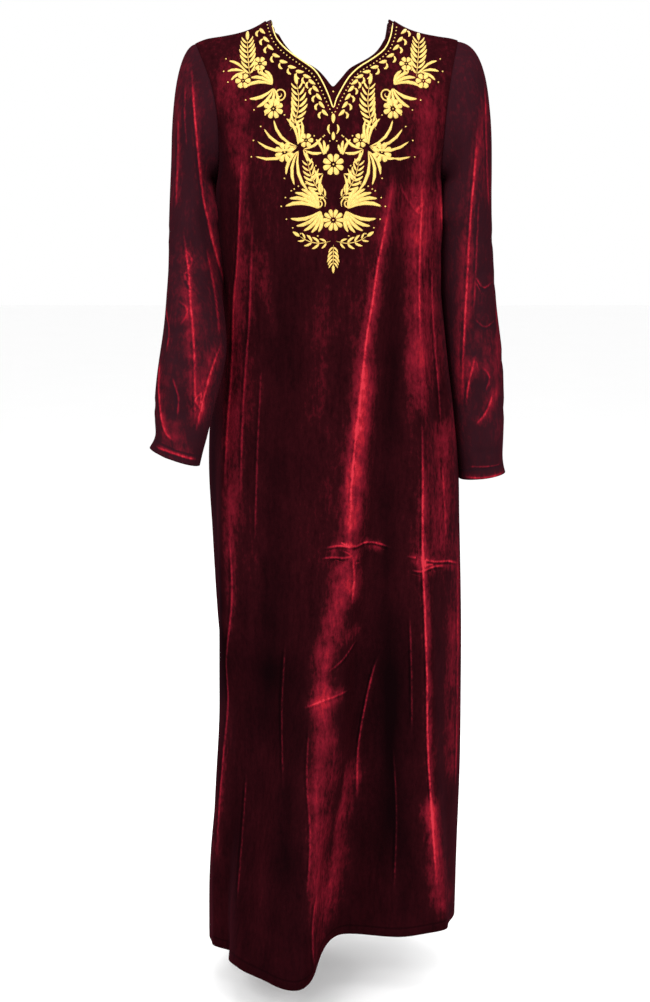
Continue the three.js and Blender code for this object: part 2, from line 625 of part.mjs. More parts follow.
// The two half panels of the front or the back, which share their middle column below the neck.
function panelOf(face) {
  const rows = [];
  for (let row = 0; row <= ROWS; row += 1) rows.push(rowHalves(face, row));
  const halves = {};
  for (const side of SIDES) {
    const net = rows.map((row) => row[side.name]);
    halves[side.name] = { net, quads: quadsOf(net, side.sign < 0 !== (face === "back")) };
  }
  return halves;
}

// The closed edge of an armhole: down the front from the shoulder tip to the armpit, and up the back.
function armholeLoop(side, panels) {
  const edge = (face, row) => panels[face][side.name].net[row][COLUMNS];
  const loop = [];
  for (let row = ROWS; row >= ARMPIT_ROW; row -= 1) loop.push(edge("front", row));
  for (let row = ARMPIT_ROW + 1; row < ROWS; row += 1) loop.push(edge("back", row));
  return loop;
}

// The rings of a sleeve, which start on its armhole.
function sleeveNet(side, panels) {
  const stations = numbered(SLEEVE[side.name]);
  const last = stations.length - 1;
  const loop = armholeLoop(side, panels);
  const ringPoint = (place, angle) => {
    const [ox, oz, ix, iz, y, depth] = ["outerX", "outerZ", "innerX", "innerZ", "y", "depth"].map(
      (column) => read(stations, "order", place, column),
    );
    let swell = 0;
    for (const fold of SLEEVE_FOLDS[side.name]) {
      const off = THREE.MathUtils.radToDeg(angle) - fold.angle;
      const turn = THREE.MathUtils.euclideanModulo(off + HALF_TURN, 2 * HALF_TURN) - HALF_TURN;
      const q = Math.hypot((place - fold.along) / fold.reach, turn / fold.spread);
      if (q < 1) swell += (fold.height * (1 + Math.cos(Math.PI * q))) / 2;
    }
    const half = new THREE.Vector2(ox - ix, oz - iz).multiplyScalar(0.5);
    const grow = 1 + swell / half.length();
    return new THREE.Vector3(
      side.sign * ((ox + ix) / 2 + half.x * Math.cos(angle) * grow),
      y - Math.sin(angle) * (depth + swell),
      (oz + iz) / 2 + half.y * Math.cos(angle) * grow,
    );
  };
  const net = [];
  for (let ring = 0; ring <= RINGS; ring += 1) {
    const place = (ring / RINGS) * last;
    const ease = 1 - smoothstep(place, 0, SLEEVE_BLEND);
    net.push(
      loop.map((onArmhole, i) => {
        const angle = (i / loop.length) * 2 * Math.PI;
        const off = onArmhole.clone().sub(ringPoint(0, angle)).multiplyScalar(ease);
        return ringPoint(place, angle).add(off);
      }),
    );
  }
  return net;
}

// The band between the neck edge of the panels and the finished edge, once round the neck.
function bindingNet(panels) {
  const edge = [];
  const rim = [];
  const last = NECK_FRONT.length - 1;
  const add = (face, side, step) => {
    const { rimLeft, rimRight, rimY, rimZ } = (face === "front" ? NECK_FRONT : NECK_BACK)[step];
    edge.push(panels[face][side.name].net[NOTCH_ROW + step][0]);
    rim.push(new THREE.Vector3(side.sign * (side.sign < 0 ? rimLeft : rimRight), rimY, rimZ));
  };
  const [left, right] = SIDES;
  for (let step = 0; step <= last; step += 1) add("front", right, step);
  for (let step = last - 1; step >= 0; step -= 1) add("back", right, step);
  for (let step = 1; step <= last; step += 1) add("back", left, step);
  for (let step = last - 1; step > 0; step -= 1) add("front", left, step);
  return [edge, rim];
}

const keyOf = (point) => point.toArray().map((n) => n.toFixed(3)).join();

// The outward direction at each place of one piece.
function ownNormals(quads) {
  const normals = new Map();
  for (const [a, b, c, d] of quads) {
    const normal = c.clone().sub(a).cross(d.clone().sub(b));
    for (const point of [a, b, c, d]) {
      const key = keyOf(point);
      if (!normals.has(key)) normals.set(key, new THREE.Vector3());
      normals.get(key).add(normal);
    }
  }
  normals.forEach((normal) => normal.normalize());
  return normals;
}

// The outward direction that the pieces meeting at a place share, so that their walls meet in a mitre.
function sharedNormals(pieces) {
  const shared = new Map();
  for (const { quads } of pieces) {
    ownNormals(quads).forEach((normal, key) => {
      if (!shared.has(key)) shared.set(key, new THREE.Vector3());
      shared.get(key).add(normal);
    });
  }
  shared.forEach((normal) => normal.normalize());
  return shared;
}

// Closes a piece's quads into a wall. Its edges stand back from the seams by half the gap, and the rim
// quads on both sides of a seam are split along the same diagonal.
function wall(quads, normals, thickness) {
  const points = [];
  const numbers = new Map();
  const corners = quads.map((quad) =>
    quad.map((point) => {
      const key = keyOf(point);
      if (!numbers.has(key)) {
        numbers.set(key, points.length);
        points.push({ at: point.clone(), normal: normals.get(key), inwards: [] });
      }
      return numbers.get(key);
    }),
  );
  const edges = new Map();
  for (const quad of corners) {
    quad.forEach((a, i) => edges.set(`${a},${quad[(i + 1) % 4]}`, quad));
  }
  const rims = [];
  for (const [edge, quad] of edges) {
    const [a, b] = edge.split(",").map(Number);
    if (edges.has(`${b},${a}`)) continue;
    rims.push([a, b]);
    const [p, q, r, s] = quad.map((n) => points[n].at);
    const facing = r.clone().sub(p).cross(s.clone().sub(q));
    const inwards = facing.cross(points[b].at.clone().sub(points[a].at)).normalize();
    points[a].inwards.push(inwards);
    points[b].inwards.push(inwards);
  }
  const outer = points.map(({ at, inwards }) => {
    if (!inwards.length) return at;
    const [one, other] = inwards;
    const reach = SEAM_GAP / 2 / (1 + one.dot(other));
    return at.clone().addScaledVector(one, reach).addScaledVector(other, reach);
  });
  const inner = outer.map((at, i) => at.clone().addScaledVector(points[i].normal, -thickness));
  const triangles = [];
  const count = points.length;
  for (const [a, b, c, d] of corners) {
    const split = outer[a].distanceTo(outer[c]) <= outer[b].distanceTo(outer[d]);
    for (const [i, j, k] of split ? [[a, b, c], [a, c, d]] : [[a, b, d], [b, c, d]]) {
      triangles.push(i, j, k, count + k, count + j, count + i);
    }
  }
  for (const [a, b] of rims) {
    const first = keyOf(points[a].at) < keyOf(points[b].at);
    if (first) triangles.push(a, count + a, count + b, a, count + b, b);
    else triangles.push(a, count + a, b, b, count + a, count + b);
  }
  const geometry = new THREE.BufferGeometry().setFromPoints([...outer, ...inner]);
  geometry.setIndex(triangles);
  geometry.computeVertexNormals();
  return geometry;
}

function abaya() {
  const panels = {};
  for (const face of FACES) panels[face] = panelOf(face);
  const pieces = FACES.map((face) => ({
    name: face,
    quads: SIDES.flatMap((side) => panels[face][side.name].quads),
    thickness: WALL,
    finish: VELVET,
  }));
  for (const side of SIDES) {
    pieces.push({
      name: `sleeve_${side.name}`,
      quads: quadsOf(sleeveNet(side, panels), side.sign < 0, true),
      thickness: WALL,
      finish: VELVET,
    });
  }
  pieces.push({
    name: "neck_binding",
    quads: quadsOf(bindingNet(panels), false, true),
    thickness: BINDING_WALL,
    finish: VELVET_BAND,
  });
  const normals = sharedNormals(pieces);
  const group = new THREE.Group();
  for (const { name, quads, thickness, finish } of pieces) {
    const mesh = new THREE.Mesh(wall(quads, normals, thickness), new THREE.MeshStandardMaterial(finish));
    mesh.name = name;
    group.add(mesh);
  }
  return group;
}

export default abaya();
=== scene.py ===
import math

import bmesh
import bpy
import numpy as np
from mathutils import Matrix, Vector
from mathutils.bvhtree import BVHTree

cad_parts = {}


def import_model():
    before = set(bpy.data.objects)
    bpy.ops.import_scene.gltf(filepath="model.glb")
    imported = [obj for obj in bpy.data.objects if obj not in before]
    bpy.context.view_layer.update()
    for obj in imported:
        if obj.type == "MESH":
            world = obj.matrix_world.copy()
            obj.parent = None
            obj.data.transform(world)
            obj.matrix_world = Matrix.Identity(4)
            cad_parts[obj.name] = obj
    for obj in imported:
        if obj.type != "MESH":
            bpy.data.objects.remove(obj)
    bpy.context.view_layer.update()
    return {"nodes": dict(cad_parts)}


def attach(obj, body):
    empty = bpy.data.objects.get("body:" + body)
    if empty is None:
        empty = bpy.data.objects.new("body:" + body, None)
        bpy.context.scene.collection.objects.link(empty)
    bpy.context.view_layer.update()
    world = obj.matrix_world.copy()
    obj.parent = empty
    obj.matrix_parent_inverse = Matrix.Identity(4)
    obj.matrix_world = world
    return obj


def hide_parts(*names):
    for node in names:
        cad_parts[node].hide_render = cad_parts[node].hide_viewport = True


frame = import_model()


# The front: red velvet, cut in one piece from the shoulders to the hem. It hangs from the shoulder seams,
# with a wide lobe of spare cloth to the left of the middle, a valley beside it and ridges to the right.
# Its lights are painted into its colour: painted highlights streak down the crests, painted shade lies in the
# valleys, and it is nearly black elsewhere.
VELVET_WALL = 0.0016


def pick(piece):
    bpy.ops.object.select_all(action="DESELECT")
    piece.select_set(True)
    bpy.context.view_layer.objects.active = piece


def apply_modifier(piece, kind, **settings):
    pick(piece)
    modifier = piece.modifiers.new(kind.title(), kind)
    for name, value in settings.items():
        setattr(modifier, name, value)
    bpy.ops.object.modifier_apply(modifier=modifier.name)


def cloth_face(node, name, wall, levels):
    """The outer face of one cut piece of cloth, as an open sheet with a finer net."""
    piece = bpy.data.objects.new(name, frame["nodes"][node].data.copy())
    bpy.context.collection.objects.link(piece)
    pick(piece)
    bpy.ops.object.mode_set(mode="EDIT")
    bpy.ops.mesh.select_all(action="SELECT")
    bpy.ops.mesh.remove_doubles(threshold=1e-5)
    net = bmesh.from_edit_mesh(piece.data)
    for face in net.faces:  # the rim that joins the outer face to the inner one
        face.select_set(any(abs(edge.calc_length() - wall) < 1e-5 for edge in face.edges))
    bmesh.update_edit_mesh(piece.data)
    bpy.ops.mesh.delete(type="FACE")
    bpy.ops.mesh.select_all(action="DESELECT")
    net = bmesh.from_edit_mesh(piece.data)
    net.faces.ensure_lookup_table()
    island = {net.faces[0]}
    edge_of_island = [net.faces[0]]
    while edge_of_island:
        for edge in edge_of_island.pop().edges:
            for face in edge.link_faces:
                if face not in island:
                    island.add(face)
                    edge_of_island.append(face)
    middle = sum((face.calc_center_median() for face in island), Vector()) / len(island)
    bulge = sum(
        face.calc_area() * face.normal.dot(face.calc_center_median() - middle) for face in island
    )
    for face in net.faces:
        face.select_set((face in island) != (bulge > 0))
    bmesh.update_edit_mesh(piece.data)
    bpy.ops.mesh.delete(type="FACE")
    bpy.ops.mesh.select_all(action="SELECT")
    bpy.ops.mesh.tris_convert_to_quads(
        face_threshold=math.pi, shape_threshold=math.pi, topology_influence=2.0
    )
    bpy.ops.object.mode_set(mode="OBJECT")
    apply_modifier(
        piece,
        "SUBSURF",
        levels=levels,
        render_levels=levels,
        boundary_smooth="PRESERVE_CORNERS",
    )
    return piece


def places(piece):
    spots = np.empty(len(piece.data.vertices) * 3)
    piece.data.vertices.foreach_get("co", spots)
    return spots.reshape(-1, 3)


def place(piece, spots):
    piece.data.vertices.foreach_set("co", spots.ravel())
    piece.data.update()


def normals(piece):
    found = np.empty(len(piece.data.vertices) * 3)
    piece.data.vertex_normals.foreach_get("vector", found)
    return found.reshape(-1, 3)


def open_edges(piece):
    """The open edges of a sheet, each as the numbers of its two points."""
    used = np.zeros(len(piece.data.edges), dtype=int)
    sides = np.empty(len(piece.data.loops), dtype=int)
    piece.data.loops.foreach_get("edge_index", sides)
    np.add.at(used, sides, 1)
    ends = np.empty(len(piece.data.edges) * 2, dtype=int)
    piece.data.edges.foreach_get("vertices", ends)
    return ends.reshape(-1, 2)[used == 1]


def nearest(spots, targets):
    """How far each spot is from the nearest of the targets, and which one that is."""
    distance, number = np.empty(len(spots)), np.empty(len(spots), dtype=int)
    for first in range(0, len(spots), 4000):
        part = spots[first : first + 4000, None, :] - targets[None, :, :]
        squares = np.einsum("ijk,ijk->ij", part, part)
        number[first : first + 4000] = squares.argmin(1)
        distance[first : first + 4000] = np.sqrt(squares.min(1))
    return distance, number


def smooth_path(points, steps=8):
    """A smooth curve through points of the (across, up) plane."""
    path = np.array(points, dtype=float)
    ends = np.vstack([2 * path[0] - path[1], path, 2 * path[-1] - path[-2]])
    out = []
    for i in range(1, len(ends) - 2):
        a, b, c, d = ends[i - 1 : i + 3]
        for t in np.arange(steps) / steps:
            square, cube = (2 * a - 5 * b + 4 * c - d) * t**2, (3 * b - a - 3 * c + d) * t**3
            out.append(0.5 * (2 * b + (c - a) * t + square + cube))
    return np.array(out + [path[-1]])


def beside(flat, points, reach):
    """Signed distance of each point from a curve, positive to its left as it runs, and 0 to 1 along it."""
    path = smooth_path(points)
    runs = np.linalg.norm(np.diff(path, axis=0), axis=1)
    starts = np.concatenate([[0], np.cumsum(runs)])
    near_by = np.all((flat > path.min(0) - reach) & (flat < path.max(0) + reach), axis=1)
    some = flat[near_by]
    best, side, part = np.full(len(some), np.inf), np.ones(len(some)), np.zeros(len(some))
    for i, run in enumerate(runs):
        way = (path[i + 1] - path[i]) / run
        gap = some - path[i]
        t = np.clip(gap @ way, 0, run)
        off = gap - t[:, None] * way
        far = np.linalg.norm(off, axis=1)
        near = far < best
        best[near] = far[near]
        side[near] = np.where(way[0] * off[near, 1] < way[1] * off[near, 0], -1, 1)
        part[near] = (starts[i] + t[near]) / starts[-1]
    distance, along = np.full(len(flat), 999.0), np.zeros(len(flat))
    distance[near_by], along[near_by] = best * side, part
    return distance, along


def fade(along, share):
    t = np.clip(np.minimum(along, 1 - along) / share, 0, 1)
    return t * t * (3 - 2 * t)


def faces_way(piece, way):
    """1 where the cloth looks the given way, falling to 0 before it looks away."""
    t = np.clip((normals(piece) @ np.array(way) - 0.08) / 0.3, 0, 1)
    return t * t * (3 - 2 * t)


def seen_flat(piece, way):
    """The cloth's places in the plane that is seen by looking against the given way, in mm."""
    spots = places(piece) * 1000
    return spots[:, [0, 2]] if abs(way[1]) > abs(way[0]) else spots[:, [1, 2]]


def crease(piece, way, creases):
    """Soft troughs, or ridges where the depth is below 0: half width, depth and points in mm."""
    flat, facing, out = seen_flat(piece, way), faces_way(piece, way), normals(piece)
    rise = np.zeros(len(flat))
    for half_width, depth, points in creases:
        off, along = beside(flat, points, 60)
        q = off / half_width
        dip = np.exp(-(q**2)) - 0.28 * (np.exp(-((q - 2) ** 2)) + np.exp(-((q + 2) ** 2)))
        rise -= depth * dip * fade(along, 0.3)
    place(piece, places(piece) + out * (rise * facing / 1000)[:, None])
    return rise * facing


def paint_sheen(piece, way, base, strokes):
    """Painted sheen level: painted highlights, and painted shade where the strength is below 0. Strokes: half
    widths to the right and left, strength and points.
    """
    flat, facing = seen_flat(piece, way), faces_way(piece, way)
    shine = np.full(len(flat), float(base))
    for right, left, strength, points in strokes:
        off, along = beside(flat, points, 3 * max(right, left))
        q = np.where(off > 0, off / left, off / right)
        wave = 0.8 + 0.2 * np.sin(along * 19 + right) * np.sin(along * 47 + left)
        shine += strength * wave * np.exp(-np.abs(q) ** 1.7) * fade(along, 0.16)
    return base + (shine - base) * facing


def paint_crease_lights(piece, layer, groups):
    """Thin creases kept as distances so that they can be finer than the net; in the material each gets a
    painted highlight, a painted shadow beside it and a little bump.
    """
    off, on = np.full(len(piece.data.vertices), 99.0), np.zeros(len(piece.data.vertices))
    for way, lines in groups:
        flat, facing = seen_flat(piece, way), faces_way(piece, way)
        for strength, points in lines:
            distance, along = beside(flat, points, 12)
            t = np.clip((9 - abs(distance)) / 4, 0, 1)
            closer = (abs(distance) < abs(off)) & (facing > 0.02)
            off[closer] = distance[closer]
            on[closer] = (strength * fade(along, 0.2) * facing * t)[closer]
    record(piece, layer + "_off", off)
    record(piece, layer + "_on", on)


def swell(piece, way, middle, reach, rise):
    """Fills the cloth out by a few mm round one place, on the side that looks the given way."""
    spots, way = places(piece), np.array(way)
    gap = (spots[:, 1:] * 1000 - np.array(middle)) / np.array(reach)
    lift = rise * np.exp(-np.sum(gap**8, axis=1)) * faces_way(piece, way) / 1000
    place(piece, spots + way * lift[:, None])


def record(piece, name, values):
    layer = piece.data.attributes.get(name) or piece.data.attributes.new(name, "FLOAT", "POINT")
    layer.data.foreach_set("value", np.asarray(values, dtype=np.float32))


front = cloth_face("front", "front_velvet", VELVET_WALL, 2)
FORWARD, BACKWARD, LEFTWARD, RIGHTWARD = (0, -1, 0), (0, 1, 0), (-1, 0, 0), (1, 0, 0)
FRONT_CREASES = [
    # pressed across the thighs where the gown was folded in its packet
    (3.2, 1.5, [(-12, -752), (18, -748), (52, -752), (92, -761)]),
    (3.5, -1.0, [(-20, -764), (14, -770), (40, -766)]),
    (3.2, 1.3, [(112, -776), (150, -787), (190, -801)]),
    (4.0, 1.0, [(120, -803), (155, -798), (185, -790)]),
    # slanting drags from the ridge towards the lobe
    (6, 2.0, [(-40, -1000), (-4, -984), (34, -972)]),
    (6, 1.6, [(-30, -936), (8, -920), (40, -908)]),
    (8, 2.2, [(72, -930), (56, -1005), (45, -1086), (43, -1176)]),
    (7, 1.6, [(96, -1010), (88, -1080), (92, -1150)]),
    # soft drags below the yoke
    (14, 1.2, [(-58, -400), (-52, -500), (-58, -610)]),
    (12, -0.8, [(-20, -380), (-12, -470), (-16, -560)]),
    (14, 0.9, [(20, -400), (8, -500), (4, -620)]),
    (9, 1.8, [(104, -420), (96, -520), (100, -640)]),
    (11, 2.4, [(152, -480), (160, -600), (166, -720)]),
    (9, 2.0, [(-120, -560), (-124, -680), (-130, -800)]),
    (9, -2.0, [(-108, -700), (-112, -820), (-116, -930)]),
    # drags of the full lower skirt
    (13, 3.0, [(-140, -1130), (-150, -1250), (-158, -1380)]),
    (11, -2.4, [(-96, -1150), (-104, -1270), (-106, -1400)]),
    (11, 2.4, [(-60, -1060), (-68, -1180), (-64, -1320)]),
    (10, 2.2, [(112, -1180), (118, -1290), (114, -1390)]),
    (10, -2.0, [(150, -1140), (160, -1260), (166, -1370)]),
    # drags from the armholes
    (8, 2.2, [(-150, -190), (-136, -250), (-132, -320)]),
    (8, 2.2, [(158, -180), (148, -240), (150, -310)]),
    (7, 1.6, [(-128, -215), (-110, -262), (-104, -320)]),
    (7, 1.6, [(132, -205), (118, -250), (116, -300)]),
]
front_rise = crease(front, FORWARD, FRONT_CREASES)
# painted highlights of the pile, and painted shade where the strength is below 0
FRONT_SHEEN_STROKES = [
    # the crest of the long ridge right of the middle, from the bust to the hem
    (5, 8, 0.4, [(90, -215), (82, -262), (69, -338), (60, -396), (52, -442), (44, -520)]),
    (7, 15, 0.6, [(49, -470), (41, -570), (32, -640), (28, -703), (30, -762)]),
    (14, 18, 0.14, [(70, -320), (52, -442), (38, -570), (30, -700), (30, -750)]),
    (17, 19, 0.38, [(34, -772), (23, -806), (11, -843), (-4, -903), (-11, -964), (-17, -1030)]),
    (13, 17, 0.3, [(-12, -980), (-19, -1089), (-22, -1155), (-22, -1236), (-18, -1329), (-21, -1425)]),
    (18, 16, 0.17, [(8, -1010), (6, -1110), (-6, -1230), (-14, -1350)]),
    (4, 26, 0.3, [(30, -1080), (20, -1160), (9, -1226), (2, -1293), (-8, -1390)]),
    # the broad mottled light on the right of the bust, with a sharp right edge
    (5, 26, 0.5, [(154, -205), (161, -300), (169, -384), (178, -468), (185, -541), (190, -640)]),
    (22, 20, 0.36, [(128, -215), (130, -300), (130, -385), (132, -471), (135, -580)]),
    (14, 14, 0.3, [(160, -560), (166, -640), (170, -730), (176, -800)]),
    (24, 22, 0.2, [(126, -60), (138, -150), (134, -240), (130, -330)]),
    (18, 18, 0.16, [(-142, -50), (-138, -130), (-128, -230)]),
    # the narrow light down the right of the skirt, and the haze it ends in
    (5, 8, 0.42, [(135, -600), (138, -762), (143, -865), (148, -972), (151, -1080), (159, -1191),
        (166, -1278), (172, -1350)]),
    (17, 13, 0.3, [(152, -1150), (164, -1240), (176, -1320), (184, -1392)]),
    (11, 11, 0.2, [(186, -820), (190, -930), (188, -1060), (190, -1180)]),
    # the left side, from the armhole to the hem
    (7, 10, 0.18, [(-121, -160), (-127, -257), (-131, -342), (-137, -420), (-142, -496), (-150, -589),
        (-156, -690)]),
    (17, 14, 0.1, [(-112, -300), (-118, -420), (-130, -560), (-136, -700), (-140, -820)]),
    (9, 8, 0.16, [(-151, -640), (-149, -756), (-148, -851), (-156, -930)]),
    (8, 8, 0.16, [(-158, -980), (-160, -1060), (-166, -1130), (-174, -1200), (-182, -1310)]),
    # fainter lights
    (9, 9, 0.12, [(-102, -313), (-91, -383), (-77, -455)]),
    (8, 8, 0.18, [(194, -735), (198, -863), (200, -1024), (200, -1192)]),
    (14, 16, 0.16, [(-17, -893), (-11, -983), (-3, -1075)]),
    (5, 6, 0.2, [(70, -940), (56, -1005), (44, -1086), (43, -1172)]),
    (5, 6, 0.4, [(-10, -757), (29, -753), (86, -763)]),
    (7, 7, 0.34, [(8, -790), (34, -772), (48, -776)]),
    (5, 5, 0.4, [(116, -779), (160, -790), (199, -806)]),
    (7, 7, 0.24, [(127, -800), (166, -798)]),
    (8, 9, 0.34, [(-38, -998), (0, -981), (29, -976)]),
    (8, 7, 0.24, [(33, -764), (33, -845)]),
    (9, 9, 0.2, [(12, -900), (32, -890), (46, -880)]),
    # painted shade over the lower skirt
    (260, 260, -0.13, [(0, -780), (0, -1150), (0, -1800)]),
    # painted shade of the valleys and of the sides that turn away
    (14, 12, -0.16, [(-162, -120), (-161, -250), (-160, -440)]),
    (14, 10, -0.34, [(-177, -500), (-176, -700), (-171, -900), (-168, -1060)]),
    (30, 30, -0.12, [(-60, -260), (-72, -440), (-76, -691), (-90, -905), (-92, -1083)]),
    (20, 20, -0.14, [(100, -257), (92, -440), (84, -630), (88, -844), (96, -1102), (92, -1338)]),
]
FRONT_LINES_A = [
    (0.5, [(90, -218), (81, -278), (68, -344), (61, -396), (53, -442), (46, -513), (38, -585),
        (33, -640), (30, -700), (31, -750)]),
    (0.5, [(157, -215), (166, -316), (172, -384), (180, -468), (187, -541), (191, -632)]),
    (0.7, [(134, -540), (137, -661), (138, -762), (143, -865), (148, -972), (151, -1080),
        (159, -1191), (166, -1278), (172, -1345)]),
    (0.45, [(-123, -165), (-128, -257), (-133, -342), (-139, -399), (-143, -496), (-151, -589),
        (-157, -690)]),
    (0.4, [(-148, -705), (-149, -756), (-148, -851), (-159, -951), (-158, -1021), (-166, -1105),
        (-173, -1186), (-181, -1300)]),
    (0.75, [(-12, -757), (12, -752), (34, -754), (60, -753), (92, -763)]),
    (0.7, [(114, -776), (134, -780), (160, -790), (182, -795), (201, -807)]),
    (0.5, [(78, -925), (68, -950), (56, -1005), (44, -1086), (43, -1176)]),
    (0.45, [(-38, -998), (0, -982), (31, -977)]),
    (0.35, [(0, -940), (20, -925), (40, -903)]),
    (0.3, [(-66, -900), (-72, -1010), (-70, -1130)]),
    (0.3, [(98, -1080), (104, -1200), (101, -1330)]),
    (0.3, [(-20, -1290), (-26, -1350), (-22, -1425)]),
]
FRONT_LINES_B = [
    (0.55, [(-14, -772), (6, -769), (22, -770), (38, -766)]),
    (0.6, [(120, -797), (136, -800), (156, -797), (176, -801)]),
    (0.5, [(33, -764), (36, -800), (33, -845)]),
    (0.35, [(-110, -290), (-116, -420), (-127, -560), (-132, -700)]),
    (0.25, [(-98, -480), (-106, -620), (-112, -770)]),
    (0.4, [(132, -225), (130, -300), (129, -385), (132, -471)]),
    (0.35, [(148, -330), (151, -420), (160, -520), (166, -600)]),
    (0.3, [(-30, -1010), (-34, -1100), (-29, -1200), (-35, -1300)]),
    (0.3, [(194, -735), (198, -863), (200, -1024), (200, -1192)]),
    (0.2, [(98, -238), (114, -262), (132, -282)]),
    (0.3, [(-128, -1120), (-136, -1230), (-146, -1350)]),
    (0.3, [(120, -860), (124, -960), (126, -1060)]),
    (0.3, [(168, -640), (172, -700), (176, -760)]),
]
# painted sheen: the listed highlights and shade, with a little painted light on crease ridges and painted
# shade in their troughs
front_painted_sheen = paint_sheen(front, FORWARD, 0.2, FRONT_SHEEN_STROKES) + front_rise * 0.02


# The back: the same velvet, cut in one piece. It hangs in long soft folds from the shoulder blades, with
# its own drags at the waist and a broad painted sheen down the crests.
back = cloth_face("back", "back_velvet", VELVET_WALL, 2)
BACK_CREASES = [
    (12, 3.0, [(-96, -300), (-100, -420), (-92, -560)]),
    (10, -2.4, [(-60, -340), (-66, -460), (-60, -590)]),
    (11, 2.6, [(20, -380), (12, -500), (18, -640)]),
    (9, -2.0, [(64, -300), (72, -410), (70, -520)]),
    (12, 2.8, [(112, -340), (118, -470), (112, -610)]),
    (4, 1.5, [(-120, -742), (-60, -752), (10, -746), (70, -754)]),
    (4, 1.2, [(30, -772), (90, -780), (150, -774)]),
    (12, 3.2, [(-130, -900), (-140, -1060), (-136, -1230)]),
    (10, -2.6, [(-90, -820), (-96, -980), (-102, -1120)]),
    (12, 2.8, [(-30, -960), (-36, -1120), (-28, -1330)]),
    (10, -2.2, [(30, -900), (36, -1040), (28, -1200)]),
    (13, 3.2, [(92, -1000), (98, -1160), (108, -1370)]),
    (10, 2.2, [(160, -840), (166, -960), (170, -1110)]),
    (8, 2.0, [(-148, -190), (-128, -250), (-118, -330)]),
    (8, 2.2, [(152, -186), (132, -244), (124, -322)]),
    (9, 1.8, [(-100, -150), (-40, -172), (30, -170), (96, -146)]),
    (8, 1.6, [(-60, -700), (-20, -690), (30, -702)]),
    (9, 2.0, [(-160, -1150), (-164, -1270), (-168, -1400)]),
]
back_rise = crease(back, BACKWARD, BACK_CREASES)
BACK_SHEEN_STROKES = [
    (13, 16, 0.36, [(-112, -230), (-118, -380), (-110, -560), (-114, -760)]),
    (16, 13, 0.3, [(-116, -860), (-120, -1040), (-114, -1230), (-118, -1400)]),
    (14, 17, 0.34, [(-18, -330), (-24, -500), (-18, -690)]),
    (15, 12, 0.32, [(-10, -780), (-4, -960), (-10, -1160), (-2, -1350)]),
    (12, 15, 0.36, [(86, -260), (92, -420), (86, -600), (94, -740)]),
    (14, 13, 0.3, [(70, -860), (76, -1040), (72, -1220), (78, -1380)]),
    (10, 12, 0.26, [(158, -420), (166, -600), (164, -800), (168, -1000)]),
    (18, 18, 0.18, [(-60, -120), (0, -132), (60, -118)]),
    (3, 3, 0.4, [(-118, -742), (-60, -751), (10, -745), (68, -753)]),
    (3, 3, 0.34, [(32, -771), (90, -779), (148, -773)]),
    (9, 9, 0.2, [(-150, -560), (-158, -700), (-162, -860)]),
]
BACK_LINES_A = [
    (0.4, [(-114, -240), (-119, -380), (-112, -560), (-116, -720)]),
    (0.35, [(-118, -880), (-122, -1040), (-116, -1230), (-120, -1400)]),
    (0.4, [(-20, -340), (-26, -500), (-20, -690)]),
    (0.45, [(88, -270), (94, -420), (88, -600), (96, -720)]),
    (0.35, [(72, -880), (78, -1040), (74, -1220), (80, -1380)]),
    (0.45, [(-122, -744), (-90, -748), (-60, -752), (-20, -750), (10, -746), (66, -753)]),
    (0.4, [(36, -772), (60, -777), (90, -780), (120, -778), (150, -774)]),
    (0.35, [(160, -440), (167, -600), (165, -800), (169, -980)]),
]
BACK_LINES_B = [
    (0.5, [(-70, -766), (-40, -769), (-10, -767)]),
    (0.3, [(-60, -820), (-66, -950), (-62, -1090)]),
    (0.3, [(24, -800), (28, -930), (24, -1060)]),
    (0.3, [(-100, -150), (-40, -170), (30, -168), (96, -146)]),
    (0.3, [(120, -1010), (126, -1140), (124, -1290)]),
]
# painted sheen: the listed highlights, with a little painted light on crease ridges and painted shade in their
# troughs
back_painted_sheen = paint_sheen(back, BACKWARD, 0.2, BACK_SHEEN_STROKES) + back_rise * 0.05


# The sleeves: each is one piece of velvet, set into its armhole and closed by one seam under the arm.
# They hang nearly straight, crumpled at the elbow and above the cuff, with painted highlights and a grey
# painted haze on the pile.
sleeve_left = cloth_face("sleeve_left", "sleeve_left_velvet", VELVET_WALL, 2)
sleeve_right = cloth_face("sleeve_right", "sleeve_right_velvet", VELVET_WALL, 2)
LEFT_SLEEVE_CREASES = {
    FORWARD: [
        (5, 2.0, [(-246, -310), (-222, -332), (-196, -326)]),
        (6, 2.4, [(-240, -362), (-214, -350), (-176, -368)]),
        (5, -1.8, [(-244, -392), (-216, -384), (-186, -398)]),
        (6, 2.4, [(-246, -424), (-222, -438), (-190, -428)]),
        (5, 2.0, [(-226, -470), (-204, -486), (-178, -480)]),
        (5, -1.6, [(-246, -500), (-222, -512), (-200, -506)]),
        (5, 2.0, [(-244, -542), (-220, -556), (-192, -548)]),
        (6, 2.0, [(-206, -110), (-202, -190), (-206, -262)]),
        (6, 1.6, [(-186, -250), (-176, -310), (-160, -380)]),
        (5, 1.4, [(-230, -580), (-232, -602), (-230, -622)]),
    ],
    BACKWARD: [
        (7, 2.4, [(-240, -300), (-214, -318), (-184, -312)]),
        (6, 2.0, [(-236, -352), (-206, -366), (-176, -356)]),
        (6, 2.0, [(-244, -420), (-214, -410), (-184, -426)]),
        (5, 1.6, [(-240, -520), (-216, -532), (-194, -524)]),
        (7, 2.0, [(-200, -120), (-204, -200), (-198, -280)]),
    ],
    LEFTWARD: [
        (6, 2.2, [(-60, -300), (-30, -316), (10, -308)]),
        (6, 2.2, [(-80, -372), (-44, -390), (-6, -380)]),
        (6, 2.0, [(-110, -450), (-74, -470), (-40, -462)]),
        (5, 1.8, [(-140, -540), (-104, -556), (-76, -548)]),
        (7, 2.0, [(0, -120), (4, -200), (-4, -270)]),
    ],
}
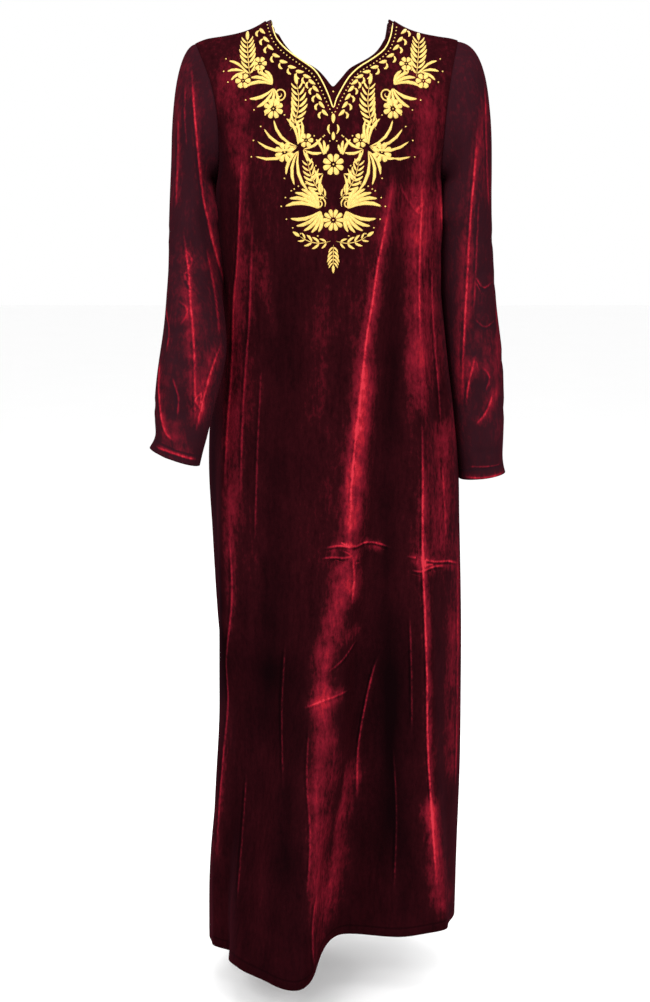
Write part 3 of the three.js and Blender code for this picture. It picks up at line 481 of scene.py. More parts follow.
RIGHT_SLEEVE_CREASES = {
    FORWARD: [
        (6, 2.0, [(226, -110), (232, -190), (236, -270)]),
        (5, 1.8, [(202, -300), (226, -318), (252, -312)]),
        (6, 2.2, [(206, -372), (232, -356), (258, -370)]),
        (5, -1.6, [(206, -418), (234, -430), (260, -424)]),
        (6, 2.2, [(204, -470), (230, -488), (258, -478)]),
        (5, 2.0, [(204, -520), (226, -530), (246, -548)]),
        (5, 1.8, [(212, -578), (236, -566), (258, -582)]),
        (5, 1.6, [(208, -622), (236, -630), (262, -624)]),
    ],
    BACKWARD: [
        (7, 2.4, [(196, -290), (222, -306), (250, -298)]),
        (6, 2.0, [(200, -380), (228, -366), (256, -382)]),
        (6, 2.2, [(204, -460), (232, -474), (258, -466)]),
        (5, 1.6, [(206, -560), (234, -572), (260, -564)]),
        (7, 2.0, [(214, -120), (222, -190), (226, -250)]),
    ],
    RIGHTWARD: [
        (9, 1.0, [(-36, -300), (0, -316), (34, -308)]),
        (8, 0.8, [(-34, -392), (0, -378), (36, -394)]),
        (9, 1.1, [(-36, -480), (2, -494), (36, -486)]),
        (8, 0.9, [(-34, -580), (0, -568), (34, -584)]),
        (7, 2.0, [(10, -120), (4, -190), (8, -260)]),
    ],
}
# painted highlights of the sleeves' pile
LEFT_SLEEVE_SHEEN_STROKES = [
    (5, 7, 0.26, [(-200, -60), (-191, -156), (-184, -239), (-172, -304), (-152, -400)]),
    (7, 7, 0.16, [(-214, -120), (-218, -187), (-221, -272)]),
    (9, 10, 0.34, [(-210, -295), (-200, -382), (-192, -487), (-193, -577)]),
    (9, 9, 0.34, [(-156, -450), (-172, -505), (-192, -582)]),
    (6, 7, 0.26, [(-242, -480), (-243, -526), (-235, -577), (-217, -595)]),
    (5, 5, 0.26, [(-250, -601), (-220, -609), (-189, -622)]),
    (6, 7, 0.14, [(-179, -328), (-163, -397), (-156, -453)]),
    (14, 14, 0.14, [(-226, -560), (-216, -590), (-206, -615)]),
    (12, 12, 0.1, [(-205, -50), (-215, -90), (-222, -140)]),
]
RIGHT_SLEEVE_SHEEN_STROKES = [
    (7, 7, 0.3, [(212, -120), (211, -173), (204, -282), (201, -377), (198, -501), (199, -560)]),
    (8, 8, 0.2, [(222, -93), (227, -187), (233, -276)]),
    (7, 7, 0.34, [(216, -480), (206, -525), (203, -560)]),
    (7, 8, 0.32, [(248, -530), (236, -566), (219, -590)]),
    (7, 7, 0.2, [(248, -330), (252, -440), (256, -553)]),
    (4, 4, 0.26, [(202, -671), (236, -669), (268, -664)]),
    (6, 6, 0.14, [(209, -300), (206, -402), (202, -476)]),
    (14, 14, 0.16, [(232, -440), (238, -480), (230, -520)]),
]
LEFT_SLEEVE_LINES_A = [
    (0.6, [(-198, -66), (-191, -156), (-184, -239), (-172, -304), (-158, -360), (-148, -405)]),
    (0.5, [(-210, -295), (-198, -382), (-190, -487), (-192, -577)]),
    (0.6, [(-250, -601), (-220, -610), (-188, -622)]),
    (0.5, [(-242, -470), (-243, -526), (-235, -577), (-215, -596)]),
    (0.35, [(-217, -130), (-218, -187), (-221, -272)]),
    (0.4, [(-222, -500), (-214, -530), (-216, -560)]),
]
LEFT_SLEEVE_LINES_B = [
    (0.5, [(-154, -455), (-172, -508), (-192, -585)]),
    (0.35, [(-179, -318), (-163, -397), (-156, -453)]),
    (0.3, [(-208, -326), (-196, -343), (-206, -362), (-194, -384)]),
    (0.3, [(-214, -396), (-200, -410), (-210, -430)]),
    (0.35, [(-176, -522), (-190, -534), (-178, -552)]),
    (0.4, [(-236, -400), (-228, -440), (-232, -470)]),
    (0.35, [(-206, -90), (-207, -140), (-204, -190)]),
]
RIGHT_SLEEVE_LINES_A = [
    (0.55, [(211, -140), (210, -190), (204, -282), (201, -377), (198, -501), (199, -556)]),
    (0.35, [(222, -80), (227, -187), (233, -276)]),
    (0.5, [(246, -535), (236, -566), (219, -588)]),
    (0.5, [(203, -670), (236, -669), (268, -664)]),
    (0.3, [(244, -300), (248, -380), (250, -460)]),
]
RIGHT_SLEEVE_LINES_B = [
    (0.5, [(216, -484), (207, -525), (204, -560)]),
    (0.3, [(216, -250), (214, -340), (212, -430)]),
    (0.4, [(212, -366), (226, -384), (242, -376)]),
    (0.35, [(214, -430), (230, -442), (248, -432)]),
    (0.4, [(226, -500), (238, -516), (232, -540)]),
    (0.35, [(207, -653), (264, -651)]),
]
sleeve_painted_sheen = []
for sleeve, groups, strokes in (
    (sleeve_left, LEFT_SLEEVE_CREASES, LEFT_SLEEVE_SHEEN_STROKES),
    (sleeve_right, RIGHT_SLEEVE_CREASES, RIGHT_SLEEVE_SHEEN_STROKES),
):
    lift = sum(crease(sleeve, way, creases) for way, creases in groups.items())
    # painted sheen of the sleeves, seen from the front and from behind, with a little painted light on crease
    # ridges and painted shade in their troughs
    behind = paint_sheen(sleeve, BACKWARD, 0, strokes)
    sleeve_painted_sheen.append(paint_sheen(sleeve, FORWARD, 0.2, strokes) + 0.8 * behind + lift * 0.03)


# The neck binding: a narrow strip of the velvet on the cross, folded over the neck edge of the front and
# the back and stitched down, so its edges are rolled; its pile is given one even level.
BINDING_WALL = 0.0022
binding = cloth_face("neck_binding", "neck_binding_velvet", BINDING_WALL, 2)
binding_shine = np.full(len(binding.data.vertices), 0.16)


# Under the arms the sleeves and the sides of the gown are full enough to touch, down to the cuffs.
for piece, way, middle, reach, rise in (
    (sleeve_left, RIGHTWARD, (-22, -326), (34, 94), 5.5),
    (front, LEFTWARD, (0, -470), (60, 244), 3.2),
    (back, LEFTWARD, (0, -470), (60, 244), 3.2),
    (sleeve_right, LEFTWARD, (-18, -455), (34, 230), 4.8),
    (front, RIGHTWARD, (0, -465), (60, 238), 3.0),
    (back, RIGHTWARD, (0, -465), (60, 238), 3.0),
    (sleeve_left, RIGHTWARD, (-22, -260), (44, 28), 5.5),
    (sleeve_right, LEFTWARD, (-18, -259), (44, 29), 8.0),
):
    swell(piece, way, middle, reach, rise)


# The seams: the pieces are sewn edge to edge, right sides together, and pressed open, so the cloth dips
# along each seam. The hem and the cuffs are turned up 15 mm and stitched.
UNDER_ARM = -0.27  # height of the feet of the armholes, in m, as are the rest
REACH_ABOVE, REACH_BELOW = 0.009, 0.0045  # edges nearer than this are sewn, above and below that height
TUCK, GROOVE, BINDING_GROOVE = 0.0012, 0.0006, 0.0003
HEM_TOP = -0.5  # open edges below this height are the hem and the cuffs
HEM = 0.015
cut_pieces = [front, back, sleeve_left, sleeve_right, binding]
outlines, seam_lines = [], []
for piece in cut_pieces:
    edges, spots = open_edges(piece), places(piece)
    outlines.append(spots[np.unique(edges)])
    one, other = spots[edges[:, 0]], spots[edges[:, 1]]
    seam_lines.append(np.vstack([one * (1 - t) + other * t for t in (0, 0.25, 0.5, 0.75)]))
for number, piece in enumerate(cut_pieces):
    others = np.vstack([line for i, line in enumerate(seam_lines) if i != number])
    apart, which = nearest(outlines[number], others)
    sewn = apart < np.where(outlines[number][:, 2] > UNDER_ARM, REACH_ABOVE, REACH_BELOW)
    shift = np.where(sewn[:, None], (others[which] - outlines[number]) / 2, 0)
    spots = places(piece)
    away, at = nearest(spots, outlines[number][sewn])
    spots += shift[sewn][at] * np.exp(-((away / 0.006) ** 2))[:, None]
    place(piece, spots)
    if piece in (sleeve_left, sleeve_right):  # the sleeve's edge is tucked under the body's
        spots[:, 0] += (TUCK if piece is sleeve_left else -TUCK) * np.exp(-((away / 0.004) ** 2))
    depth = BINDING_GROOVE if piece is binding else GROOVE
    spots -= normals(piece) * (depth * np.exp(-((away / 0.0035) ** 2)))[:, None]
    place(piece, spots)
    record(piece, "from_seam", away)
    free = outlines[number][~sewn]
    free = free[free[:, 2] < HEM_TOP]
    record(piece, "from_hem", nearest(spots, free)[0] if len(free) else np.ones(len(spots)))


# Velvet: a short dense silk-like pile, dyed dark red, that looks dark along the pile and bright where the pile
# leans over.
# These lights are painted into its colour here: painted highlights streaked and mottled down the cloth,
# painted shade, and a grey painted haze for the sheen at grazing angles.
class Level:
    """A socket of numbers that plain maths can be written with."""

    def __init__(self, finish, socket):
        self.finish, self.socket = finish, socket

    def maths(self, operation, *values):
        inputs = {i: value for i, value in enumerate(values)}
        return self.finish.node("ShaderNodeMath", {"operation": operation}, inputs)

    def __add__(self, other):
        return self.maths("ADD", self, other)

    def __sub__(self, other):
        return self.maths("SUBTRACT", self, other)

    def __rsub__(self, other):
        return self.maths("SUBTRACT", other, self)

    def __mul__(self, other):
        return self.maths("MULTIPLY", self, other)

    def __truediv__(self, other):
        return self.maths("DIVIDE", self, other)

    def __pow__(self, other):
        return self.maths("POWER", self, other)

    __radd__, __rmul__ = __add__, __mul__

    def sine(self):
        return self.maths("SINE", self)

    def exponent(self):
        return self.maths("EXPONENT", self)

    def kept(self, low=0.0, high=1.0):
        return self.maths("MINIMUM", self.maths("MAXIMUM", self, low), high)


class Finish:
    """A material and the nodes that are added to it."""

    def __init__(self, name):
        self.material = bpy.data.materials.new(name)
        self.material.use_nodes = True
        self.tree = self.material.node_tree
        self.tree.nodes.clear()

    def node(self, kind, settings, values, out=0):
        made = self.tree.nodes.new(kind)
        for name, value in settings.items():
            if name == "stops":
                ramp = made.color_ramp
                while len(ramp.elements) < len(value):
                    ramp.elements.new(1.0)
                for element, (position, color) in zip(ramp.elements, value):
                    element.position, element.color = position, (*color, 1)
            else:
                setattr(made, name, value)
        for name, value in values.items():
            if isinstance(value, Level):
                self.tree.links.new(value.socket, made.inputs[name])
            else:
                made.inputs[name].default_value = value
        return Level(self, made.outputs[out])

    def noise(self, stretch, scale, detail=3.0, roughness=0.55):
        at = self.node("ShaderNodeTexCoord", {}, {}, "Object")
        at = self.node("ShaderNodeMapping", {}, {"Vector": at, "Scale": stretch})
        values = {"Vector": at, "Scale": scale, "Detail": detail, "Roughness": roughness}
        return self.node("ShaderNodeTexNoise", {}, values, "Fac")

    def attribute(self, name):
        return self.node("ShaderNodeAttribute", {"attribute_name": name}, {}, "Fac")

    def ramp(self, level, stops):
        return self.node("ShaderNodeValToRGB", {"stops": stops}, {"Fac": level}, "Color")

    def mix(self, level, one, other):
        return self.node("ShaderNodeMix", {"data_type": "RGBA"}, {0: level, 6: one, 7: other}, 2)

    def bump(self, height, strength, distance):
        values = {"Height": height, "Strength": strength, "Distance": distance}
        return self.node("ShaderNodeBump", {}, values, "Normal")

    def surface(self, values):
        shader = self.node("ShaderNodeBsdfPrincipled", {}, values, "BSDF")
        end = self.tree.nodes.new("ShaderNodeOutputMaterial")
        self.tree.links.new(shader.socket, end.inputs["Surface"])
        return self.material


def velvet(name):
    finish = Finish(name)
    shine, dull = finish.attribute("shine"), finish.attribute("dull")
    streaks = finish.noise((1, 1, 0.2), 130, 3, 0.6)
    clouds = finish.noise((1, 1, 0.5), 24, 4, 0.6)
    flecks = finish.noise((1, 1, 0.5), 230, 4, 0.7)
    pile = finish.noise((1, 1, 0.6), 1400, 2, 0.6)
    # random mottling, scaled mostly by the painted sheen so that it mottles the painted highlights, with a
    # little random tone of its own
    sheen_mottle = (flecks - 0.5) * 1.5 + (streaks - 0.5) * 1.2 + (clouds - 0.5) * 1.3
    # each crease line gets a broken painted highlight and a painted shadow beside it, and it raises the bump a
    # little
    lit, dip = 0.0, 0.0
    for layer in ("crush_a", "crush_b"):
        off, on = finish.attribute(layer + "_off"), finish.attribute(layer + "_on")
        broken = (flecks * 2.2 - 0.35).kept()
        line = (off * off * (-1 / 1.5**2)).exponent()
        shade = ((off + 3) * (off + 3) * (-1 / 2**2)).exponent()
        lit = (line * broken - shade * 0.3) * on + lit
        dip = line * on + dip
    level = (shine + sheen_mottle * (shine * 0.95 + 0.02) + lit).kept()
    # painted shade in the seam grooves: the level is dimmed along the seams
    seam_shade = (1 - finish.attribute("from_seam") / 0.004).kept()
    apart = (finish.attribute("from_hem") - HEM) / 0.0022
    stitched = (1 - apart * apart).kept()
    level = level * (1 - seam_shade * 0.25) * (1 - stitched * 0.5)
    # the ramp runs from the near-black dyed pile in painted shade to the bright red of painted highlights
    color = finish.ramp(
        level,
        [
            (0.0, (0.004, 0.001, 0.0015)),
            (0.22, (0.02, 0.0023, 0.0037)),
            (0.5, (0.12, 0.0055, 0.0125)),
            (0.78, (0.27, 0.0095, 0.0185)),
            (1.0, (0.43, 0.022, 0.036)),
        ],
    )
    height = pile + flecks * 1.2 + dip * 1.5 - stitched * 3
    bump = finish.bump(height, 0.35, 0.0006)
    # painted haze: the darker parts greyed, standing for the sheen at grazing angles
    painted_haze = ((1 - level * 1.6) * (clouds + 0.5)).kept() * dull
    return finish.surface(
        {
            "Base Color": finish.mix(painted_haze, color, (0.034, 0.012, 0.019, 1)),
            "Roughness": 0.62 - level * 0.12,
            "Specular IOR Level": 0.0,
            "Sheen Weight": 0.06,
            "Sheen Roughness": 0.35,
            "Sheen Tint": (0.4, 0.02, 0.04, 1),
            "Normal": bump,
        }
    )


def wrong_side(name):
    """The knitted ground that carries the pile: dull, with fine rows down its length."""
    finish = Finish(name)
    knit = finish.noise((1, 1, 0.25), 1600, 2)
    clouds = finish.noise((1, 1, 1), 20, 3)
    turned = ((HEM - finish.attribute("from_hem")) * 4000).kept()
    ground = finish.mix((clouds * 0.6 + knit * 0.4).kept(), (0.03, 0.003, 0.006, 1), (0.07, 0.008, 0.014, 1))
    bump = finish.bump(knit, 0.3, 0.0004)
    return finish.surface(
        {
            "Base Color": finish.mix(turned, ground, (0.05, 0.0035, 0.008, 1)),
            "Roughness": 0.9,
            "Specular IOR Level": 0.15,
            "Normal": bump,
        }
    )


velvet_finish = velvet("red_velvet")
binding_finish = velvet("red_velvet_binding")
inside_finish = wrong_side("velvet_wrong_side")
for piece, way, lines_a, lines_b in (
    (front, FORWARD, FRONT_LINES_A, FRONT_LINES_B),
    (back, BACKWARD, BACK_LINES_A, BACK_LINES_B),
    (sleeve_left, FORWARD, LEFT_SLEEVE_LINES_A, LEFT_SLEEVE_LINES_B),
    (sleeve_right, FORWARD, RIGHT_SLEEVE_LINES_A, RIGHT_SLEEVE_LINES_B),
):
    behind = [(BACKWARD, lines_b)] if piece in (sleeve_left, sleeve_right) else []
    paint_crease_lights(piece, "crush_a", [(way, lines_a)] + behind)
    paint_crease_lights(piece, "crush_b", [(way, lines_b)])
painted_sheens = [front_painted_sheen, back_painted_sheen, *sleeve_painted_sheen, binding_shine]
for piece, shine in zip(cut_pieces, painted_sheens):
    record(piece, "shine", shine)
    # a grey painted haze, standing for the sheen at grazing angles: over the sleeves, and where the body turns
    # to the side
    side_haze = np.clip((abs(normals(piece)[:, 0]) - 0.66) / 0.26, 0, 1) * 0.22
    side_haze *= np.clip((abs(places(piece)[:, 0]) - 0.14) / 0.02, 0, 1)
    record(piece, "dull", np.full(len(side_haze), 0.4) if piece in (sleeve_left, sleeve_right) else side_haze)
    piece.data.materials.clear()
    piece.data.materials.append(binding_finish if piece is binding else velvet_finish)
    piece.data.materials.append(inside_finish)
    piece.data.polygons.foreach_set("material_index", [0] * len(piece.data.polygons))
    piece.data.shade_smooth()

ground_spots, ground_faces = [], []
for piece in (front, binding):
    first = len(ground_spots)
    ground_spots += [tuple(spot) for spot in places(piece)]
    ground_faces += [tuple(first + corner for corner in face.vertices) for face in piece.data.polygons]
yoke_ground = BVHTree.FromPolygons(ground_spots, ground_faces)

for piece, node in zip(cut_pieces, ("front", "back", "sleeve_left", "sleeve_right", "neck_binding")):
    apply_modifier(
        piece,
        "SOLIDIFY",
        thickness=BINDING_WALL if piece is binding else VELVET_WALL,
        offset=-1,
        material_offset=1,
        material_offset_rim=0,
    )
    piece.data.shade_smooth()
    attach(piece, "root")
    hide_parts(node)


# The yoke embroidery: flowers, ferns and fans of curved strokes in pale gold rayon, sewn as satin stitches
# straight onto the velvet before the front was cut. The left half mirrors the right one, and the shapes
# stand about a millimetre proud, with the threads lying slantwise across each of them.
AXIS = 4.6  # mm to the right of the origin, where the point of the neck is
STITCH_HEIGHT = 0.5

bpy.ops.object.select_all(action="DESELECT")
bpy.ops.mesh.primitive_uv_sphere_add(segments=8, ring_count=6, radius=1)
seed = bpy.context.object
seed_spots = places(seed)
seed_faces = [tuple(face.vertices) for face in seed.data.polygons]
bpy.ops.object.delete()
seed_along, seed_round = seed_spots[:, 2], np.linalg.norm(seed_spots[:, :2], axis=1)
seed_wide = seed_spots[:, 0] / np.maximum(seed_round, 1e-6) * (seed_round > 1e-4)
seed_high = seed_spots[:, 1] / np.maximum(seed_round, 1e-6) * (seed_round > 1e-4)


def bent(start, pull, end, t):
    """The place a share t along a curve from start to end that bends towards a third point, and its way."""
    spot = (1 - t) ** 2 * start + 2 * t * (1 - t) * pull + t**2 * end
    return spot, 2 * (1 - t) * (pull - start) + 2 * t * (end - pull)


def on_yoke(across, down, lift):
    """A point on the front as seen straight from the front, lifted off the pile, all in mm."""
    down = max(down, np.interp(abs(across), (70, 90, 110, 130, 155), (-8, 3, 16, 22.5, 27.5)))
    spot, out, _, _ = yoke_ground.ray_cast(Vector((across / 1000, -0.5, -down / 1000)), Vector((0, 1, 0)))
    if spot is None:
        guess = Vector((across / 1000, -0.03, -down / 1000))
        spot, out, _, _ = yoke_ground.find_nearest(guess)
        spot = Vector((across / 1000, spot.y, -down / 1000))
    return spot + out * (lift / 1000) * (-1 if out.y > 0 else 1)


class Stitching:
    """Closed raised shapes that are laid on the yoke one after another and joined into one piece."""

    def __init__(self):
        self.spots, self.faces, self.thread, self.crown = [], [], [], []

    def lay(self, flat, lift, faces, thread, crown, both):
        """Lays one shape down, and its mirror image too unless it stands on the middle line."""
        for side in (1, -1) if both else (1,):
            first = len(self.spots)
            self.spots += [on_yoke(AXIS + side * x, y, up) for (x, y), up in zip(flat, lift)]
            self.faces += [tuple(first + corner for corner in face) for face in faces]
            self.thread += list(thread)
            self.crown += list(crown)

    def leaf(self, start, pull, end, width, bulge=0.25, both=True, point=1.35):
        """A pointed shape from start to end, bent towards a third point."""
        start, pull, end = (np.array(spot, dtype=float) for spot in (start, pull, end))
        t = ((seed_along + 1) / 2)[:, None]
        middle, way = bent(start, pull, end, t)
        length = np.linalg.norm(end - start)
        way /= np.maximum(np.linalg.norm(way, axis=1), 1e-6)[:, None]
        out = np.stack([way[:, 1], -way[:, 0]], axis=1)
        half = width / 2 * seed_round**point * (1 - bulge * seed_along)
        top = STITCH_HEIGHT + 0.09 * width
        lift = np.where(seed_high > 0, seed_high * top * seed_round**0.8, seed_high * 0.5)
        thread = t[:, 0] * length + seed_wide * half * 0.6
        self.lay(middle + out * (seed_wide * half)[:, None], lift, seed_faces, thread, seed_high, both)

    def dot(self, centre, width, both=True):
        """A round knot of thread, or a bead."""
        flat = np.array(centre) + np.stack([seed_along, seed_wide * seed_round], axis=1) * (width / 2)
        top = width * 0.45
        lift = np.where(seed_high > 0, seed_high * seed_round * top, seed_high * 0.4)
        self.lay(flat, lift, seed_faces, (seed_wide + seed_along) * width / 2, seed_high, both)

    def line(self, points, width, both=True, taper=0.25, height=None, steps=6):
        """A cord or a narrow satin line that is couched down along a smooth curve."""
        path = smooth_path(points, steps)
        runs = np.concatenate([[0], np.cumsum(np.linalg.norm(np.diff(path, axis=0), axis=1))])
        way = np.gradient(path, axis=0)
        way /= np.linalg.norm(way, axis=1)[:, None]
        out = np.stack([way[:, 1], -way[:, 0]], axis=1)
        size = np.clip(np.minimum(runs, runs[-1] - runs) / (taper * runs[-1] + 1e-6), 0.12, 1) ** 0.6
        top = 0.3 + 0.3 * width if height is None else height
        corners = [math.radians(a) for a in (0, 45, 90, 135, 180, 270)]
        wide, high = [math.cos(a) for a in corners], [math.sin(a) for a in corners]
        flat, lift, thread, crown = [], [], [], []
        for centre, across, grow, run in zip(path, out, size, runs):
            for w, h in zip(wide, high):
                flat.append(centre + across * w * grow * width / 2)
                lift.append(h * top * grow if h > 0 else h * 0.4)
                thread.append(run + w * width * 0.5)
                crown.append(h)
        count, around = len(path), len(corners)
        faces = []
        for i in range(0, (count - 1) * around, around):
            for j in range(around):
                after = (j + 1) % around
                faces.append((i + j, i + after, i + around + after, i + around + j))
        faces += [tuple(range(around))[::-1], tuple((count - 1) * around + j for j in range(around))]
        self.lay(flat, lift, faces, thread, crown, both)

    def piece(self, name, finish):
        mesh = bpy.data.meshes.new(name)
        mesh.from_pydata([tuple(spot) for spot in self.spots], [], self.faces)
        made = bpy.data.objects.new(name, mesh)
        bpy.context.collection.objects.link(made)
        record(made, "thread", self.thread)
        record(made, "crown", self.crown)
        pick(made)
        bpy.ops.object.mode_set(mode="EDIT")
        bpy.ops.mesh.select_all(action="SELECT")
        bpy.ops.mesh.normals_make_consistent(inside=False)
        bpy.ops.object.mode_set(mode="OBJECT")
        mesh.materials.append(finish)
        mesh.shade_smooth()
        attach(made, "root")


def gold(name, pitch, dark, light):
    finish = Finish(name)
    thread, crown = finish.attribute("thread"), finish.attribute("crown")
    ridge = (thread * (2 * math.pi / pitch)).sine() * 0.5 + 0.5
    wear = finish.noise((1, 1, 1), 260, 3)
    # painted light: the top of each raised shape is lit, its edges and underside fall to the dark colour as
    # painted shade, and each thread's ridge gets a painted highlight; the wear noise is random tone
    level = (crown * 1.7).kept() * (ridge * 0.3 + (wear - 0.5) * 0.9 + crown * 0.15 + 0.62)
    level = level.kept()
    bump = finish.bump(ridge, 0.5, 0.0003)
    return finish.surface(
        {
            "Base Color": finish.mix(level, dark, light),
            "Roughness": 0.5 - level * 0.14,
            "Metallic": 0.1,
            "Specular IOR Level": 0.5,
            "Normal": bump,
        }
    )


rayon = gold("gold_rayon", 0.55, (0.09, 0.022, 0.004, 1), (0.82, 0.55, 0.13, 1))
FANS = [  # root, first and last way in degrees (0 is outwards, 90 down), strokes, lengths, curl, width
    ((86, 99), (-62, 2), 4, (24, 38), 30, 5.6),
    ((84, 103), (22, 98), 4, (38, 32), -26, 5.6),
    ((124, 80), (-34, 28), 3, (30, 24), 24, 4.4),
    ((50, 182), (-98, -66), 3, (34, 40), 28, 4.8),
    ((50, 184), (-48, 12), 4, (50, 62), -34, 4.6),
    ((48, 190), (62, 104), 3, (38, 58), 28, 5.2),
    ((42, 188), (128, 212), 3, (24, 30), 26, 4.6),
    ((14, 196), (-116, -64), 3, (16, 24), 18, 4.6),
    ((14, 222), (24, 84), 2, (20, 30), 24, 4.8),
    ((20, 270), (-62, -4), 5, (34, 48), 28, 6.2),
    ((18, 272), (14, 84), 5, (44, 30), -26, 5.8),
]
STROKE_PULL = 0.6  # how far along a stroke its bend is
KNOT_GAP = 5
strokes, tips = Stitching(), []
for root, (first, last), count, (shortest, longest), curl, width in FANS:
    root = np.array(root, dtype=float)
    for i in range(count):
        share = i / (count - 1)
        angle = math.radians(first + (last - first) * share)
        turned = angle - math.radians(curl)
        length = shortest + (longest - shortest) * share
        way = np.array([math.cos(angle), math.sin(angle)])
        tip = root + length * way
        pull = root + STROKE_PULL * length * np.array([math.cos(turned), math.sin(turned)])
        strokes.leaf(root, pull, tip, width, bulge=-0.3)
        tips.append(tip + KNOT_GAP * way)
strokes.piece("yoke_strokes", rayon)

FERNS = [  # stem from, towards, to; pairs of leaflets, and how long and wide these are
    ((118, 86), (122, 58), (123, 32), 7, 21, 9.4),
    ((60, 162), (43, 136), (51, 98), 8, 20.5, 9.6),
    ((9, 256), (31, 237), (36, 204), 8, 17.5, 8.4),
    ((0, 319), (0, 334), (0, 348), 5, 15, 7.6),
    ((4, 314), (26, 322), (48, 307), 4, 15, 8.6),
]
ferns = Stitching()
for start, pull, end, pairs, length, width in FERNS:
    start, pull, end = (np.array(spot, dtype=float) for spot in (start, pull, end))
    centred = start[0] == 0
    stem = [bent(start, pull, end, t)[0] for t in (0, 0.25, 0.5, 0.75, 1)]
    ferns.line(stem, 1.3, both=not centred)
    for i in range(pairs):
        t = (i + 0.6) / (pairs + 0.4)
        root, way = bent(start, pull, end, t)
        way /= np.linalg.norm(way)
        size = 1 - 0.35 * abs(2 * t - 0.9)
        for side in (1, -1):
            if centred and side < 0:
                continue
            out = np.array([-way[1], way[0]]) * side
            tip = root + (way * 0.78 + out * 0.62) * length * size * 0.92
            bend = root + (way * 0.3 + out * 0.5) * length * size * 0.92
            ferns.leaf(root + out * 0.6, bend, tip, width * size * 0.5, point=1.2)
    way = (end - pull) / np.linalg.norm(end - pull)
    ferns.leaf(end - way, end + way * length * 0.35, end + way * length * 0.72, width * 0.62, both=not centred)
ferns.piece("yoke_ferns", rayon)

FLOWERS = [  # centre, radius and petals
    (104, 68, 10, 6), (128, 92, 11, 6), (84, 132, 14, 8), (38, 176, 10, 6),
    (68, 192, 14, 8), (0, 209, 15, 8), (0, 285, 15, 10),
]
flowers = Stitching()
for x, y, radius, petals in FLOWERS:
    for i in range(petals):
        angle = 2 * math.pi * (i + 0.5) / petals
        way = np.array([math.sin(angle), -math.cos(angle)])
        centre = np.array([x, y], dtype=float)
        width = 2 * math.pi * radius * 0.66 / petals
        flowers.leaf(
            centre + way * radius * 0.24,
            centre + way * radius * 0.64,
            centre + way * radius * 1.02,
            width,
            bulge=-0.4,
            both=x > 0,
            point=0.85,
        )
    flowers.dot((x, y), radius * 0.17, both=x > 0)
flowers.piece("yoke_flowers", rayon)

curls = Stitching()
for x, y, radius, turn in ((75, 112, 10, 0.2), (20, 262, 9.5, 2.6), (104, 79, 4, 1.2)):
    spiral = []
    for i in range(17):
        t = i / 16
        angle = turn + t * 2 * math.pi * 1.55
        reach = radius * (1 - 0.8 * t)
        spiral.append((x + reach * math.cos(angle), y + reach * math.sin(angle)))
    curls.line(spiral, 2.4, taper=0.12, steps=3)
for start, by, end, width in (
    ((5, 154), (10, 161), (4, 168), 3.6),
    ((20, 214), (27, 226), (18, 238), 3.0),
):
    curls.leaf(start, by, end, width)
curls.leaf((0, 139), (0, 146), (0, 153), 6.4, both=False)
curls.leaf((0, 176), (0, 170), (0, 164), 5.8, both=False)
curls.piece("yoke_curls", rayon)

GARLAND = [
    (104, 15), (98, 28), (92, 40), (85, 53), (75, 63), (63, 71), (52, 78),
    (41, 84), (33, 91), (27, 100), (22, 111), (18, 122), (14, 133), (8, 146),
]
garland = Stitching()
for i, (x, y) in enumerate(GARLAND[:-1]):
    here, after = np.array([x, y], dtype=float), np.array(GARLAND[i + 1], dtype=float)
    way = (after - here) / np.linalg.norm(after - here)
    out = np.array([-way[1], way[0]])
    out *= 1 if out[0] > 0 or out[1] > 0 else -1
    garland.leaf(here + out * 1.6, here + way * 5 + out * 1.5, here + way * 11.5 - out * 2.4, 5.6)
    start, pull, end = here + out * 3.2 + way * 2.5, here + out * 12 + way * 3, here + out * 9 + way * 10.5
    garland.leaf(start, pull, end, 4.2, bulge=-0.2)
garland.piece("yoke_garland", rayon)

MIDDLE = 4  # knots nearer the middle line than this would meet their mirror images
dots = Stitching()
for tip in tips:  # a knot beyond the tip of each stroke
    if tip[0] > MIDDLE:
        dots.dot(tip, 2.3)
dots.dot((0, 109), 2.6, both=False)
dots.piece("yoke_dots", rayon)


# The neck cord: a twisted gold cord couched down along the seam of the binding, from one shoulder seam
# round the notch to the other, with a row of small round beads beside it. Both ends go into the seams.
NECK_LINE = [  # across and down, from the left shoulder seam to the right one
    (-90, 4), (-86, 18), (-80, 33), (-66, 49), (-43, 66), (-26, 79), (-14.5, 97), (-5.5, 117), (0, 131),
    (4.5, 119), (12, 105), (22, 89), (36, 75), (56, 62), (73, 48), (82, 29), (86, 8),
]
neck_path = np.array(NECK_LINE, dtype=float)
ways = np.gradient(neck_path, axis=0)
ways /= np.linalg.norm(ways, axis=1)[:, None]
outs = np.stack([-ways[:, 1], ways[:, 0]], axis=1)
cord_finish = gold("gold_cord", 1.6, (0.36, 0.19, 0.025, 1), (0.9, 0.68, 0.2, 1))
cord = Stitching()
cord.line([tuple(p) for p in neck_path], 2.0, both=False, taper=0.004, height=1.3, steps=3)
cord.piece("neck_cord", cord_finish)
bead_row = Stitching()
lined = neck_path + outs * 6.2
lined[8] = (0, 139)
track = smooth_path([tuple(p) for p in lined], 6)
runs = np.concatenate([[0], np.cumsum(np.linalg.norm(np.diff(track, axis=0), axis=1))])
count = int(runs[-1] / 5.5)
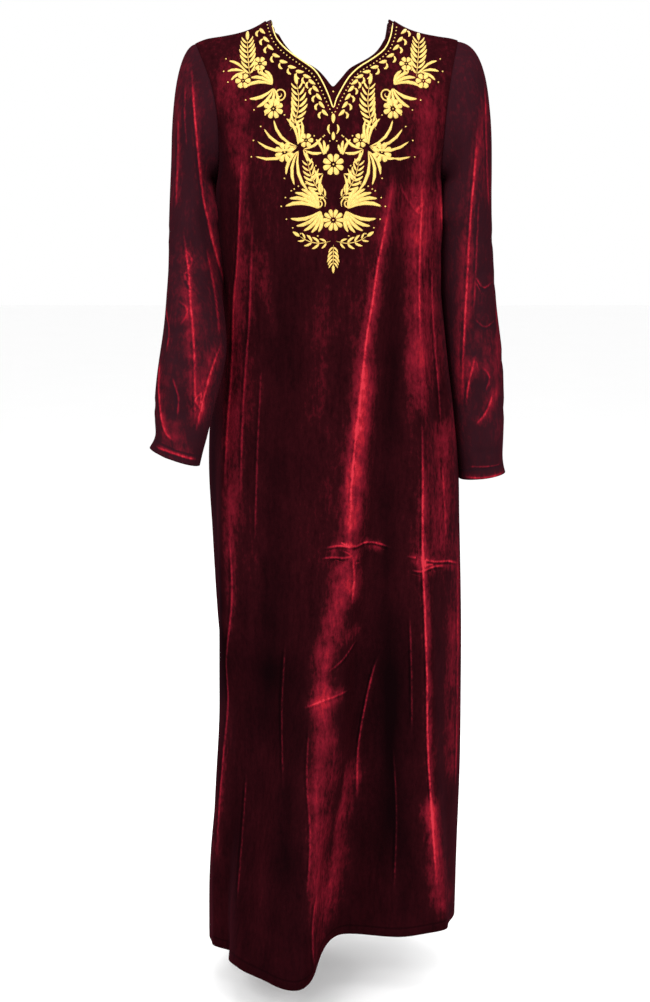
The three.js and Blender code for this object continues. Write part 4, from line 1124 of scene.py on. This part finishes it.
for i in range(1, count):
    at = runs[-1] * i / count
    bead_row.dot((np.interp(at, runs, track[:, 0]), np.interp(at, runs, track[:, 1])), 2.0, both=False)
bead_row.piece("neck_beads", rayon)


# The studio: a plain pale floor under the hem, soft light from large panels and a camera at chest height
# in front, tilted down a little.
bpy.ops.mesh.primitive_plane_add(size=30, location=(0, 0, 0))
floor = bpy.context.object
floor.name = "floor"
for corner in floor.data.vertices:
    corner.co.z = -1.5
paper = Finish("pale_paper")
tone = paper.mix(paper.noise((1, 1, 1), 3), (0.955, 0.955, 0.955, 1), (0.975, 0.975, 0.975, 1))
floor.data.materials.append(paper.surface({"Base Color": tone, "Roughness": 0.9}))

world = bpy.data.worlds.new("studio_air")
world.use_nodes = True
world.node_tree.nodes["Background"].inputs["Color"].default_value = (1, 1, 1, 1)
world.node_tree.nodes["Background"].inputs["Strength"].default_value = 1.0
bpy.context.scene.world = world


def soft_light(name, place_at, aim, size, power):
    lamp = bpy.data.lights.new(name, "AREA")
    lamp.shape, lamp.size, lamp.size_y, lamp.energy = "RECTANGLE", size[0], size[1], power
    panel = bpy.data.objects.new(name, lamp)
    bpy.context.collection.objects.link(panel)
    panel.location = place_at
    panel.rotation_euler = (Vector(aim) - Vector(place_at)).to_track_quat("-Z", "Y").to_euler()


soft_light("key_panel", (-1.6, -2.4, 1.3), (0, 0, -0.6), (1.4, 1.8), 60)
soft_light("fill_panel", (2.0, -2.2, 0.4), (0, 0, -0.7), (1.4, 2.0), 34)
soft_light("top_panel", (0.1, -0.3, 1.8), (0, 0, -0.4), (1.6, 1.2), 24)
soft_light("back_panel", (0.4, 2.4, 0.6), (0, 0, -0.6), (1.6, 1.8), 30)

camera = bpy.data.objects.new("camera", bpy.data.cameras.new("camera"))
bpy.context.collection.objects.link(camera)
camera.location = (-0.007, -2.25, -0.25)
camera.rotation_euler = (math.radians(78.38), 0, 0)
camera.data.sensor_fit, camera.data.sensor_height, camera.data.lens = "VERTICAL", 36, 53.55
bpy.context.scene.camera = camera
bpy.context.scene.view_settings.view_transform = "Standard"
